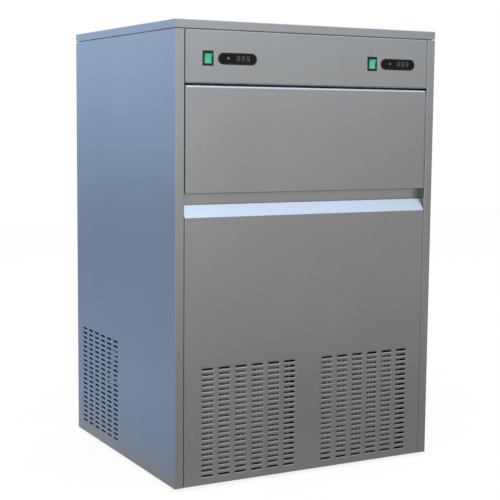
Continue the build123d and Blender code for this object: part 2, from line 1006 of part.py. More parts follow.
# Displays: a pill-shaped housing with a bevelled rim, and the dark window set into it
for side, hand in SIDES:
    x = display_x(hand)
    with BuildPart() as display_housing:
        with BuildSketch(face_plane(0)):
            with Locations((x, up(control_height))):
                SlotOverall(display_length, display_height)
        extrude(amount=display_proud)
        front = display_housing.faces().sort_by(Axis.Y)[0]
        chamfer(front.edges(), display_bevel)
        with BuildSketch(face_plane(0)):
            with Locations((x, up(control_height))):
                SlotOverall(display_body_length, display_body_height)
        extrude(amount=-display_body_depth)
        with BuildSketch(face_plane(-display_proud)):
            with Locations((x, up(control_height))):
                SlotOverall(lens_length, lens_height)
        extrude(amount=-lens_depth, mode=Mode.SUBTRACT)
    save(display_housing, f"display_housing_{side}")

    with BuildPart() as display_lens:
        with BuildSketch(face_plane(-display_proud)):
            with Locations((x, up(control_height))):
                SlotOverall(lens_length, lens_height)
        extrude(amount=-lens_depth)
    save(display_lens, f"display_lens_{side}")

# Evaporator rack: an inverted channel across the bin with ears for the tray pivots
rack_half = liner_half_width - liner_wall - rack_wall_gap
ear_offset = tray_length / 2 + ear_gap
with BuildPart() as evaporator_rack:
    block(
        -rack_half,
        rack_half,
        evaporator_depth - rack_width / 2,
        evaporator_depth + rack_width / 2,
        rack_height - rack_flange,
        rack_height,
    )
    block(
        -half_width,
        half_width,
        evaporator_depth - rack_width / 2 + rack_sheet,
        evaporator_depth + rack_width / 2 - rack_sheet,
        rack_height - 2 * rack_flange,
        rack_height - rack_sheet,
        Mode.SUBTRACT,
    )
    for _, hand in SIDES:
        for end in (-1, 1):
            ear_x = hand * evaporator_x + end * ear_offset
            low_x, high_x = sorted((ear_x, ear_x + end * ear_thickness))
            block(
                low_x,
                high_x,
                tray_pivot_depth - ear_front,
                tray_pivot_depth + ear_rear,
                tray_top - ear_drop,
                rack_height - rack_sheet / 2,
            )
    side_disc(
        -rack_half,
        rack_half,
        tray_pivot_depth,
        tray_top,
        tray_pin_radius + running_gap,
        Mode.SUBTRACT,
    )
save(evaporator_rack, "evaporator_rack")

# Evaporators: a brazed copper manifold with two rows of tapered freezing fingers
for side, hand in SIDES:
    with BuildPart() as evaporator:
        centre = (hand * evaporator_x, back(evaporator_depth))
        bar_length = 2 * finger_row_half + 2 * manifold_bar
        with BuildSketch(Plane.XY.offset(up(manifold_height))):
            with Locations(centre):
                RectangleRounded(bar_length, finger_row_pitch + manifold_bar, manifold_corner)
                Rectangle(
                    bar_length - 2 * manifold_bar,
                    finger_row_pitch - manifold_bar,
                    mode=Mode.SUBTRACT,
                )
        extrude(amount=manifold_thickness)
        root = Plane(origin=(*centre, up(manifold_height)), z_dir=(0, 0, -1))
        with BuildSketch(root):
            with GridLocations(finger_pitch, finger_row_pitch, finger_columns, finger_rows):
                RegularPolygon(finger_radius, finger_sides)
        extrude(amount=finger_length - finger_tip, taper=finger_taper)
        tips = evaporator.faces().sort_by(Axis.Z)[: finger_columns * finger_rows]
        extrude(tips, amount=finger_tip, taper=finger_tip_taper)
        with Locations((centre[0], centre[1], up(manifold_height + manifold_thickness))):
            with GridLocations(bar_length - manifold_bar, finger_row_pitch, 2, 1):
                Cylinder(
                    stud_radius,
                    rack_height - rack_sheet - manifold_height - manifold_thickness,
                    align=(Align.CENTER, Align.CENTER, Align.MIN),
                )
    save(evaporator, f"evaporator_{side}")

# Water trays: moulded troughs that hang on end pins behind the fingers and tip to empty
for side, hand in SIDES:
    tray_x = hand * evaporator_x
    with BuildPart() as water_tray:
        block(
            tray_x - tray_length / 2,
            tray_x + tray_length / 2,
            evaporator_depth - tray_width / 2,
            evaporator_depth + tray_width / 2,
            tray_top - tray_height,
            tray_top,
        )
        floor_edges = water_tray.faces().sort_by(Axis.Z)[0].edges()
        fillet(floor_edges.filter_by(Axis.X), tray_corner)
        offset(amount=-tray_wall, openings=water_tray.faces().sort_by(Axis.Z)[-1])
        for end in (-1, 1):
            end_x = tray_x + end * tray_length / 2
            side_disc(
                end_x - end * tray_lug_thickness,
                end_x,
                tray_pivot_depth,
                tray_top - tray_lug_radius / 2,
                tray_lug_radius,
            )
            low_x, high_x = sorted((end_x - end * tray_lug_thickness, end_x))
            block(
                low_x,
                high_x,
                evaporator_depth + tray_width / 2 - tray_wall,
                tray_pivot_depth,
                tray_top - 1.5 * tray_lug_radius,
                tray_top,
            )
            side_disc(
                end_x,
                end_x + end * tray_pin_reach,
                tray_pivot_depth,
                tray_top,
                tray_pin_radius,
            )
    save(water_tray, f"water_tray_{side}")

# Tilt motors: flat geared motors on the outer ears, with a socket for the tray's pin
for side, hand in SIDES:
    motor_x = hand * (evaporator_x + ear_offset + ear_thickness)
    with BuildPart() as tilt_motor:
        side_disc(
            motor_x,
            motor_x + hand * tilt_motor_boss,
            tray_pivot_depth,
            tray_top,
            tilt_motor_radius / 2,
        )
        side_disc(
            motor_x + hand * tilt_motor_boss,
            motor_x + hand * tilt_motor_length,
            tray_pivot_depth,
            tray_top + tilt_motor_radius / 3,
            tilt_motor_radius,
        )
        side_disc(
            motor_x,
            motor_x + hand * tray_pin_reach,
            tray_pivot_depth,
            tray_top,
            tray_pin_radius + running_gap,
            Mode.SUBTRACT,
        )
    save(tilt_motor, f"tilt_motor_{side}")

# Ice slide: a sloping slotted sheet that lets the water through and sends the ice forward
slide_rear_depth = liner_rear_depth - liner_wall - rack_wall_gap
with BuildPart() as ice_slide:
    with BuildSketch(Plane.YZ.offset(-rack_half)):
        with BuildLine():
            Polyline(
                (back(slide_front_depth), up(slide_front_height)),
                (back(slide_rear_depth), up(slide_rear_height)),
                (back(slide_rear_depth), up(slide_rear_height - slide_sheet)),
                (back(slide_front_depth), up(slide_front_height - slide_sheet)),
                close=True,
            )
        make_face()
    extrude(amount=2 * rack_half)
    for _, hand in SIDES:
        low_x, high_x = sorted((hand * (rack_half - slide_corner), hand * half_width))
        block(
            low_x,
            high_x,
            slide_rear_depth - slide_corner,
            cabinet_depth,
            slide_front_height,
            slide_rear_height,
            Mode.SUBTRACT,
        )
    with BuildSketch(Plane.XY.offset(up(slide_front_height - 2 * slide_sheet))):
        with Locations((0, back((tank_front_depth + tank_rear_depth) / 2))):
            with GridLocations(slide_slot_pitch, 1, slide_slots, 1):
                Rectangle(slide_slot_width, slide_slot_length)
        with Locations(*[(hand * pump_x, back(pump_tube_depth)) for _, hand in SIDES]):
            Rectangle(slide_tube_hole, slide_tube_hole)
    extrude(amount=slide_rear_height - slide_front_height, mode=Mode.SUBTRACT)
save(ice_slide, "ice_slide")

# Water tank: the trough under the slide that catches and feeds the water
with BuildPart() as water_tank:
    block(
        -rack_half,
        rack_half,
        tank_front_depth,
        tank_rear_depth,
        tank_bottom,
        tank_bottom + tank_height,
    )
    offset(amount=-tank_wall, openings=water_tank.faces().sort_by(Axis.Z)[-1])
save(water_tank, "water_tank")

# Water pumps: a small pump standing in the tank, with its tube up to the tray
for side, hand in SIDES:
    with BuildPart() as water_pump:
        rear = tank_rear_depth - tank_wall - seat
        block(
            hand * pump_x - pump_size / 2,
            hand * pump_x + pump_size / 2,
            rear - pump_size,
            rear,
            tank_bottom + tank_wall,
            tank_bottom + tank_wall + pump_size,
        )
        fillet(water_pump.edges().filter_by(Axis.Z), tray_corner)
        bent_tube(
            [
                (hand * pump_x, back(pump_tube_depth), up(tank_bottom + pump_size)),
                (hand * pump_x, back(pump_tube_depth), up(pump_outlet_height)),
                (hand * pump_x, back(pump_outlet_depth), up(pump_outlet_height)),
            ],
            pump_tube_radius,
        )
    save(water_pump, f"water_pump_{side}")

# Condensers: a finned block between two end plates, behind each group of front vents
for side, hand in SIDES:
    x = hand * vent_group_offset
    with BuildPart() as condenser:
        block(
            x - condenser_width / 2,
            x + condenser_width / 2,
            condenser_front_depth,
            condenser_front_depth + condenser_depth,
            pan_sheet + sheet,
            pan_sheet + sheet + condenser_height,
        )
        fin_pitch = (condenser_width - 2 * end_plate) / condenser_fins
        with BuildSketch(face_plane(condenser_front_depth)):
            with Locations((x, up(pan_sheet + sheet + condenser_height / 2))):
                with GridLocations(fin_pitch, 1, condenser_fins, 1):
                    Rectangle(fin_pitch * fin_gap_share, 2 * condenser_height)
        extrude(amount=-fin_gap_depth, mode=Mode.SUBTRACT)
    save(condenser, f"condenser_{side}")

# Fan shrouds: a plate behind each condenser with a foot under it and a round opening for the fan
for side, hand in SIDES:
    x = hand * vent_group_offset
    with BuildPart() as fan_shroud:
        block(
            x - shroud_width / 2,
            x + shroud_width / 2,
            shroud_depth,
            shroud_depth + sheet,
            pan_sheet,
            pan_sheet + shroud_height,
        )
        block(
            x - shroud_width / 2,
            x + shroud_width / 2,
            condenser_front_depth,
            shroud_depth + sheet,
            pan_sheet,
            pan_sheet + sheet,
        )
        front_disc(
            x,
            fan_height,
            shroud_hole_radius,
            shroud_depth - sheet,
            shroud_depth + 2 * sheet,
            Mode.SUBTRACT,
        )
    save(fan_shroud, f"fan_shroud_{side}")

# Fan motors: a drum on a strap that is fastened to the shroud
for side, hand in SIDES:
    x = hand * vent_group_offset
    strap_depth = fan_motor_depth + fan_motor_length
    span = motor_strap_half_span
    with BuildPart() as fan_motor:
        front_disc(x, fan_height, fan_motor_radius, fan_motor_depth, strap_depth)
        with BuildSketch(Plane.XY.offset(up(fan_height - motor_strap_width / 2))):
            with BuildLine():
                Polyline(
                    (x - span + motor_strap_foot, back(shroud_depth + sheet)),
                    (x - span, back(shroud_depth + sheet)),
                    (x - span, back(strap_depth + motor_strap)),
                    (x + span, back(strap_depth + motor_strap)),
                    (x + span, back(shroud_depth + sheet)),
                    (x + span - motor_strap_foot, back(shroud_depth + sheet)),
                )
                offset(amount=motor_strap, side=Side.RIGHT)
            make_face()
        extrude(amount=motor_strap_width)
        front_disc(
            x,
            fan_height,
            fan_shaft_radius + running_gap,
            fan_motor_depth - motor_strap,
            fan_motor_depth + fan_shaft_reach,
            Mode.SUBTRACT,
        )
    save(fan_motor, f"fan_motor_{side}")

# Fan rotors: a hub with pitched blades, on the shaft that runs in the motor
for side, hand in SIDES:
    x = hand * vent_group_offset
    hub_middle = fan_hub_depth + fan_hub_length / 2
    with BuildPart() as fan_rotor:
        front_disc(x, fan_height, fan_hub_radius, fan_hub_depth, fan_hub_depth + fan_hub_length)
        front_disc(
            x,
            fan_height,
            fan_shaft_radius,
            fan_hub_depth + fan_hub_length,
            fan_motor_depth + fan_shaft_reach / 2,
        )
        for number in range(fan_blades):
            turn = radians(360 * number / fan_blades)
            outward = Vector(sin(turn), 0, cos(turn))
            across = Vector(cos(turn), 0, -sin(turn))
            chord = across * cos(radians(blade_pitch)) + Vector(0, 1, 0) * sin(radians(blade_pitch))
            blade_plane = Plane(
                origin=Vector(x, back(hub_middle), up(fan_height)),
                x_dir=outward,
                z_dir=outward.cross(chord),
            )
            root = fan_hub_radius - blade_overlap
            with BuildSketch(blade_plane):
                Polygon(
                    (root, -blade_root_chord / 2),
                    (fan_radius, -blade_tip_chord / 2),
                    (fan_radius, blade_tip_chord / 2),
                    (root, blade_root_chord / 2),
                    align=None,
                )
            extrude(amount=blade_thickness / 2, both=True)
    save(fan_rotor, f"fan_rotor_{side}")

# Compressors: a welded shell with a domed top, on a foot plate over rubber mounts
for side, hand in SIDES:
    x = hand * compressor_x
    low = compressor_seat_height
    shell = compressor_radius - shell_step
    seam = low + compressor_height * shell_seam
    top = low + compressor_height
    with BuildPart() as compressor:
        axis_plane = Plane(origin=(x, back(compressor_depth), up(0)), x_dir=(1, 0, 0), z_dir=(0, -1, 0))
        with BuildSketch(axis_plane):
            with BuildLine():
                Polyline(
                    (0, top),
                    (0, low),
                    (shell - shell_dish, low),
                    (shell, low + shell_dish),
                    (shell, seam - shell_step),
                    (compressor_radius, seam - shell_step),
                    (compressor_radius, seam + shell_step),
                    (shell, seam + shell_step),
                    (shell, top),
                    close=True,
                )
            make_face()
        revolve(axis=Axis((x, back(compressor_depth), 0), (0, 0, 1)))
        fillet(compressor.faces().sort_by(Axis.Z)[-1].edges(), shell_dome)
        with BuildSketch(Plane.XY.offset(up(low))):
            with Locations((x, back(compressor_depth))):
                RectangleRounded(
                    compressor_plate_length,
                    compressor_plate_width,
                    mount_radius,
                )
        extrude(amount=compressor_plate)
        with Locations((hand * suction_x, back(compressor_depth), up(low + compressor_height / 2))):
            Cylinder(
                suction_radius + stub_wall,
                compressor_height / 2 + suction_stub,
                align=(Align.CENTER, Align.CENTER, Align.MIN),
            )
        side_disc(
            x,
            hand * (compressor_x + compressor_radius + discharge_stub),
            compressor_depth,
            discharge_height,
            discharge_radius + stub_wall,
        )
    save(compressor, f"compressor_{side}")

# Compressor mounts: rubber buffers between the pan and the foot plates
with BuildPart() as compressor_mounts:
    for _, hand in SIDES:
        with Locations((hand * compressor_x, back(compressor_depth), up(pan_sheet))):
            with GridLocations(mount_spacing_x, mount_spacing_y, 2, 2):
                Cylinder(
                    mount_radius,
                    compressor_seat_height - pan_sheet,
                    align=(Align.CENTER, Align.CENTER, Align.MIN),
                )
save(compressor_mounts, "compressor_mounts")

# Copper tubes of each set: suction, liquid with its drier, and discharge
for side, hand in SIDES:
    routes = tube_routes(hand)
    with BuildPart() as suction_line:
        bent_tube(routes["suction"], suction_radius)
    save(suction_line, f"suction_line_{side}")

    with BuildPart() as liquid_line:
        bent_tube(routes["liquid"], liquid_radius)
        front_disc(
            hand * liquid_x,
            drain_outlet_height,
            drier_radius,
            liquid_turn_depth + 2 * tube_bend,
            liquid_turn_depth + 2 * tube_bend + drier_length,
        )
    save(liquid_line, f"liquid_line_{side}")

    with BuildPart() as discharge_line:
        bent_tube(routes["discharge"], discharge_radius)
    save(discharge_line, f"discharge_line_{side}")

# Electrical box: a closed case on the inside of the back panel
with BuildPart() as electrical_box:
    block(
        -electrical_box_width / 2,
        electrical_box_width / 2,
        inner_face - electrical_box_depth,
        inner_face,
        electrical_box_bottom,
        electrical_box_bottom + electrical_box_height,
    )
    fillet(electrical_box.edges().filter_by(Axis.Y), edge_bend)
save(electrical_box, "electrical_box")

# Water inlet valve: a body inside the back panel, a flange outside and a threaded inlet
with BuildPart() as water_inlet_valve:
    block(
        inlet_x - inlet_body_width / 2,
        inlet_x + inlet_body_width / 2,
        inner_face - inlet_body_depth,
        inner_face,
        inlet_height - inlet_body_height / 2,
        inlet_height + inlet_body_height / 2,
    )
    front_disc(inlet_x, inlet_height, inlet_thread_radius, inner_face, outer_face)
    front_disc(
        inlet_x,
        inlet_height,
        inlet_flange_radius,
        outer_face,
        outer_face + fitting_flange,
    )
    front_disc(
        inlet_x,
        inlet_height,
        inlet_thread_radius,
        outer_face + fitting_flange,
        cabinet_depth + rear_reach,
    )
    front_disc(
        inlet_x,
        inlet_height,
        inlet_bore_radius,
        inner_face,
        cabinet_depth + 2 * rear_reach,
        Mode.SUBTRACT,
    )
save(water_inlet_valve, "water_inlet_valve")

# Inlet hose: from the valve up behind the bin and over the rim of the water tank
with BuildPart() as inlet_hose:
    bent_tube(inlet_hose_route(), inlet_hose_radius)
save(inlet_hose, "inlet_hose")

# Drain pipe: from the bin floor down and out through the back panel, with a flange there
with BuildPart() as drain_pipe:
    bent_tube(
        [
            (0, back(drain_depth), up(liner_floor - seat)),
            (0, back(drain_depth), up(drain_outlet_height)),
            (0, back(outer_face), up(drain_outlet_height)),
        ],
        drain_radius,
        drain_bore,
        drain_bend,
        drain_sides,
    )
    front_disc(
        0,
        drain_outlet_height,
        drain_flange_radius,
        outer_face,
        outer_face + fitting_flange,
    )
    front_disc(
        0,
        drain_outlet_height,
        drain_radius,
        outer_face + fitting_flange,
        cabinet_depth + rear_reach,
    )
    front_disc(
        0,
        drain_outlet_height,
        drain_bore,
        outer_face - sheet,
        cabinet_depth + 2 * rear_reach,
        Mode.SUBTRACT,
    )
save(drain_pipe, "drain_pipe")

# Cable gland: a hexagonal body and nut on either side of the back panel, with its cable hole
with BuildPart() as cable_gland:
    front_disc(gland_x, gland_height, gland_radius, inner_face - gland_thread, outer_face)
    for depth, length, radius in (
        (outer_face, gland_flange, gland_nut_radius),
        (inner_face - gland_thread, gland_thread / 2, gland_nut_radius),
    ):
        with BuildSketch(face_plane(depth)):
            with Locations((gland_x, up(gland_height))):
                RegularPolygon(radius, 6)
        extrude(amount=-length)
    front_disc(
        gland_x,
        gland_height,
        gland_cable_radius,
        inner_face - 2 * gland_thread,
        cabinet_depth + 2 * rear_reach,
        Mode.SUBTRACT,
    )
save(cable_gland, "cable_gland")
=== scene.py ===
"""The looks of a twin finger ice machine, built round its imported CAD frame.

Lengths are in metres: +Z is up, the front looks along -Y, and +X is to the right of
someone who faces the front. Heights are measured from the cabinet's bottom edge, and
depths from its front face, as in the part's own source.
"""

import json
from math import cos, pi, radians, sin, tan

import bmesh
import bpy
import numpy as np
from mathutils import Matrix, Vector


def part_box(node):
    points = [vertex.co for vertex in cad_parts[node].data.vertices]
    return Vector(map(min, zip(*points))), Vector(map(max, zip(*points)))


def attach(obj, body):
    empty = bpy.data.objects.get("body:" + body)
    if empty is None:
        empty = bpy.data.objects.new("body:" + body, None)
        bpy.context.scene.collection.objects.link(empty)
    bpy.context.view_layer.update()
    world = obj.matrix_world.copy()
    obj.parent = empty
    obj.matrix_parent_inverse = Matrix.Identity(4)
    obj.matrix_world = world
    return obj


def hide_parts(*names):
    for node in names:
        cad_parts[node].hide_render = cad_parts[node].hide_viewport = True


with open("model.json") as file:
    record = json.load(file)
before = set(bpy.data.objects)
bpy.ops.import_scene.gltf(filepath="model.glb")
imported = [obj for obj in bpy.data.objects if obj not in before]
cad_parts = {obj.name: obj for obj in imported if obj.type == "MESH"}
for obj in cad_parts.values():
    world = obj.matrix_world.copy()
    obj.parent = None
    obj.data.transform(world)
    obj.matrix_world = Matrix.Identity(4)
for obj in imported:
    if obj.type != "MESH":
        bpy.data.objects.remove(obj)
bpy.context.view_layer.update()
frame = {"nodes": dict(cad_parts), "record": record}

bl_info = {
    "name": "Finger Ice Machine",
    "version": (1, 0, 0),
    "blender": (4, 5, 0),
    "location": "3D View > Sidebar > Ice Machine",
    "description": "Dresses a stainless finger ice machine round its CAD frame",
    "category": "Add Mesh",
}

MM = 0.001
SIDES = (("left", -1), ("right", 1))
LID_LOW, LID_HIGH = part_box("top_lid")
BACK_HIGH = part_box("back_panel")[1]
FRONT_Y = LID_LOW.y
REAR_Y = LID_HIGH.y
BASE_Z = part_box("lower_front_panel")[0].z

# Banks of vent slots, measured to the middles of the slots
SLOT_COLUMNS = 6
SLOT_ROWS = 21
FRONT_SLOT_PITCH = 41 * MM
FRONT_BANK_OFFSET = 151.8 * MM
FRONT_FIRST_ROW = 20 * MM
SIDE_SLOT_PITCH = 40.5 * MM
SIDE_FIRST_COLUMN = 336.6 * MM
SIDE_FIRST_ROW = 30 * MM

# Lower front panel: how far each end reaches past the CAD panel, and the ledge at its top
PANEL_REACH = 0.8 * MM
LEDGE_FOOT = 585.3 * MM
LEDGE_LEAN = 13 * MM

# Left side: its folds, the return under the lid, and the hole for the hinge pin in its post
SIDE_BEND = 2 * MM
REAR_FLANGE = 15 * MM
POST_WIDTH = 21 * MM
POST_RETURN = 21.7 * MM
TOP_RETURN = 20 * MM
TOP_RETURN_FRONT = 50 * MM
TOP_RETURN_REAR = 30 * MM
PIN_HEIGHT = 854 * MM
PIN_DEPTH = 12 * MM
PIN_HOLE_RADIUS = 2.56 * MM
PIN_CELL = 8 * MM

# Rocker caps: their pivot, their hollow front and the heel behind it
ROCKER_HEIGHT = 921 * MM
ROCKER_PIVOT_DEPTH = 3 * MM
ROCKER_TILT = radians(9)
ROCKER_HALF_HEIGHT = 10.5 * MM
ROCKER_HALF_WIDTH = 8.5 * MM
ROCKER_STAND = 0.8 * MM
ROCKER_HOLLOW = 2 * MM
HEEL_DEPTH = 7 * MM
HEEL_HALF_HEIGHT = 4 * MM
ROCKER_EDGE = 0.6 * MM
ROCKER_GLOW_REACH = (13 * MM, 20 * MM, 16 * MM)

# Displays: a digit's width and its bars as shares of its height, and places from the middle
DIGIT_WIDTH_SHARE = 0.62
BAR_WIDTH_SHARE = 0.13
DIGIT_PLACES = (1 * MM, 13 * MM, 25 * MM)
DIGIT_RAISE = 1 * MM
DIGIT_STAND = 0.05 * MM
DIGIT_THICKNESS = 0.1 * MM
INDICATOR_PLACE = -22.7 * MM
INDICATOR_RADIUS = 3 * MM

# Freezing fingers, the ring manifold over them and the studs that it hangs on
FINGER_COLUMNS = 6
FINGER_PITCH = 36 * MM
FINGER_ROW_OFFSET = 19 * MM
FINGER_TIP_RADIUS = 5.4 * MM
BRAZE_HEIGHT = 2 * MM
BRAZE_WIDTH = 1 * MM
MANIFOLD_FOOT = 905 * MM
MANIFOLD_HALF_WIDTH = 8 * MM
MANIFOLD_HALF_HEIGHT = 7 * MM
MANIFOLD_CORNER = 9 * MM
STUD_RADIUS = 4 * MM
STUD_START = 10 * MM

# Screws: the shape of a head, and their places on the back panel and on the lid's rear skirt
SCREW_RADIUS = 3.9 * MM
SCREW_DOME = 2.2 * MM
SCREW_CROSS_DEPTH = 1.1 * MM
SIDE_SCREW_INSET = 22 * MM
SIDE_SCREW_HEIGHTS = np.array([30, 240, 470, 700, 930]) * MM
TOP_SCREW_HEIGHT = 955 * MM
TOP_SCREW_PLACES = np.array([-150, 0, 150]) * MM
LID_SCREW_HEIGHT = 9 * MM
LID_SCREW_PLACES = np.array([-220, 220]) * MM

# Folded edges: widths and depths, and where the door's stop at its foot and its head
FASCIA_HEM = 1 * MM
FASCIA_HEM_DEPTH = 13 * MM
FASCIA_EDGE = 0.8 * MM
FASCIA_EDGE_DEPTH = 12 * MM
DOOR_EDGE = 1.4 * MM
DOOR_EDGE_DEPTH = 5 * MM
DOOR_EDGE_FOOT = 1 * MM
DOOR_EDGE_HEAD = 8 * MM

# Hoods over the slots of the back panel
HOOD_ROWS = 8
HOOD_LENGTH = 66 * MM
HOOD_HEIGHT = 8 * MM
HOOD_REACH = 5 * MM
HOOD_SHEET = 0.8 * MM
HOOD_LIFT = 1 * MM
BACK_BANK_HEIGHT = 150 * MM
BACK_BANK_OFFSET = 222.75 * MM

# Camera, solved from the cabinet's corners: a focal length in pixels of a square image
CAMERA_PLACE = (-1.382, -2.5753, 0.804)
CAMERA_AZIMUTH = radians(28.39)
CAMERA_ELEVATION = radians(6.29)
CAMERA_ROLL = radians(0.52)
FOCAL_PIXELS = 1194.5
IMAGE_PIXELS = 500
SENSOR_WIDTH = 36


def linear(hex_colour):
    """A colour as it is seen on a screen, in sRGB hex, as the linear RGBA that a shader takes."""
    seen = np.array([int(hex_colour[i : i + 2], 16) for i in (1, 3, 5)]) / 255
    flat = np.where(seen <= 0.04045, seen / 12.92, ((seen + 0.055) / 1.055) ** 2.4)
    return (*flat.tolist(), 1.0)


# Sizes and colours


class IceMachineSizes(bpy.types.PropertyGroup):
    """Sizes of the pieces that are added to the frame."""

    sheet: bpy.props.FloatProperty(
        name="Sheet",
        description="Thickness of the stainless sheet",
        default=1.2 * MM,
        unit="LENGTH",
    )
    bend: bpy.props.FloatProperty(
        name="Bend",
        description="Outer radius of the sheet's folds",
        default=1.5 * MM,
        unit="LENGTH",
    )
    slot_length: bpy.props.FloatProperty(
        name="Slot length",
        description="Length of a vent slot over its round ends",
        default=28 * MM,
        unit="LENGTH",
    )
    slot_height: bpy.props.FloatProperty(
        name="Slot height",
        description="Height of a vent slot",
        default=5 * MM,
        unit="LENGTH",
    )
    row_pitch: bpy.props.FloatProperty(
        name="Row pitch",
        description="Distance between rows of vent slots",
        default=11.8 * MM,
        unit="LENGTH",
    )
    digit_height: bpy.props.FloatProperty(
        name="Digit height",
        description="Height of a digit in the displays",
        default=9.6 * MM,
        unit="LENGTH",
    )
    finger_radius: bpy.props.FloatProperty(
        name="Finger radius",
        description="Radius of a freezing finger at its root",
        default=7 * MM,
        unit="LENGTH",
    )


class IceMachineColours(bpy.types.PropertyGroup):
    """Colours of the finishes, in sRGB hex."""

    steel: bpy.props.StringProperty(
        name="Stainless", description="Brushed stainless sheet", default="#95969a"
    )
    zinc: bpy.props.StringProperty(
        name="Zinc", description="Zinc-coated steel sheet", default="#9b9fa1"
    )
    green: bpy.props.StringProperty(
        name="Rocker", description="Lit rocker of a switch", default="#22a371"
    )
    glow: bpy.props.StringProperty(
        name="Rocker glow", description="Rocker right over its lamp", default="#69d3b5"
    )
    bezel: bpy.props.StringProperty(
        name="Bezel", description="Bezel of a switch", default="#04261b"
    )
    black: bpy.props.StringProperty(
        name="Black", description="Black plastic of the displays", default="#0b0c10"
    )
    digits: bpy.props.StringProperty(
        name="Digits", description="Unlit digits of the displays", default="#5d5a5c"
    )
    liner: bpy.props.StringProperty(
        name="Liner", description="Moulded liner of the bin", default="#dfe3e6"
    )
    copper: bpy.props.StringProperty(
        name="Copper", description="Copper tube", default="#b5714a"
    )


# Meshes


def put_mesh(name, points, faces, smooth=None, outward=False):
    """Put points and faces into a new object, with the points that meet made one. outward
    turns every shell's faces to its outside."""
    mesh = bpy.data.meshes.new(name)
    mesh.from_pydata(np.asarray(points, float).tolist(), [], [list(f) for f in faces])
    flags = np.ones(len(mesh.polygons), bool) if smooth is None else np.asarray(smooth, bool)
    mesh.polygons.foreach_set("use_smooth", flags)
    tidy = bmesh.new()
    tidy.from_mesh(mesh)
    bmesh.ops.remove_doubles(tidy, verts=tidy.verts, dist=1e-6)
    if outward:
        bmesh.ops.recalc_face_normals(tidy, faces=tidy.faces)
    tidy.to_mesh(mesh)
    tidy.free()
    mesh.update()
    piece = bpy.data.objects.new(name, mesh)
    bpy.context.scene.collection.objects.link(piece)
    return piece


def finish_piece(piece, body, material, replaced=()):
    """Give a piece its body, its material and the CAD nodes it stands for."""
    piece.data.materials.append(material)
    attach(piece, body)
    if replaced:
        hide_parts(*replaced)
    return piece


def join_parts(parts):
    """Several (points, faces) made one: the numbers in each part's faces start after the
    points of the parts before it."""
    points, faces, start = [], [], 0
    for some, its_faces in parts:
        points.append(np.asarray(some, float).reshape(-1, 3))
        faces.extend([[i + start for i in f] for f in its_faces])
        start += len(points[-1])
    return np.concatenate(points), faces


def grid_faces(rows, columns, close_rows=False, close_columns=False, start=0):
    """The quads of a grid of rows by columns points, closed along either way."""
    r = np.arange(rows if close_rows else rows - 1)
    c = np.arange(columns if close_columns else columns - 1)
    r, c = np.meshgrid(r, c, indexing="ij")
    r1, c1 = (r + 1) % rows, (c + 1) % columns
    quads = np.stack([r * columns + c, r * columns + c1, r1 * columns + c1, r1 * columns + c], -1)
    return (quads.reshape(-1, 4) + start).tolist()


def turned(profile, centres, along="Z", steps=32):
    """Surfaces of revolution: a point at radius r and distance h of the profile goes to
    (r cos a, r sin a, h) for each angle a, and the whole is set at each centre along its axis."""
    profile = np.asarray(profile, float)
    angles = np.arange(steps) * 2 * pi / steps
    r, h = profile[:, 0][:, None], profile[:, 1][:, None]
    ring = np.stack([r * np.cos(angles), r * np.sin(angles), h + 0 * angles], -1)
    if along == "Y":
        ring = ring[..., [0, 2, 1]]
    centres = np.asarray(centres, float).reshape(-1, 1, 1, 3)
    points = (centres + ring).reshape(-1, 3)
    one = np.array(grid_faces(len(profile), steps, close_columns=True))
    if along == "Y":
        one = one[:, ::-1]
    shift = (np.arange(len(centres)) * ring.shape[0] * steps)[:, None, None]
    return points, (one + shift).reshape(-1, 4).tolist()


def folded_path(corners, radius, steps=5):
    """The outline of a folded sheet: straight runs joined by arcs of the same radius.
    An arc starts radius * tan(half the turn) before its corner and is sampled evenly by angle.
    Returns the points, the distance of each along the path, and the number of the first point
    of each straight run."""
    corners = [Vector(c) for c in corners]
    points = [corners[0]]
    for before, corner, after in zip(corners, corners[1:], corners[2:]):
        inward, outward = (before - corner).normalized(), (after - corner).normalized()
        turn = pi - inward.angle(outward)
        reach = radius * tan(turn / 2)
        middle = corner + (inward + outward).normalized() * (radius / cos(turn / 2))
        first = corner + inward * reach - middle
        last = corner + outward * reach - middle
        share = np.linspace(0, 1, steps + 1)
        for t in share:
            points.append(middle + (first * sin((1 - t) * turn) + last * sin(t * turn)) / sin(turn))
    points.append(corners[-1])
    points = np.array([tuple(p) for p in points])
    gaps = np.linalg.norm(np.diff(points, axis=0), axis=1)
    return points, np.concatenate([[0], np.cumsum(gaps)]), range(0, len(gaps), steps + 1)


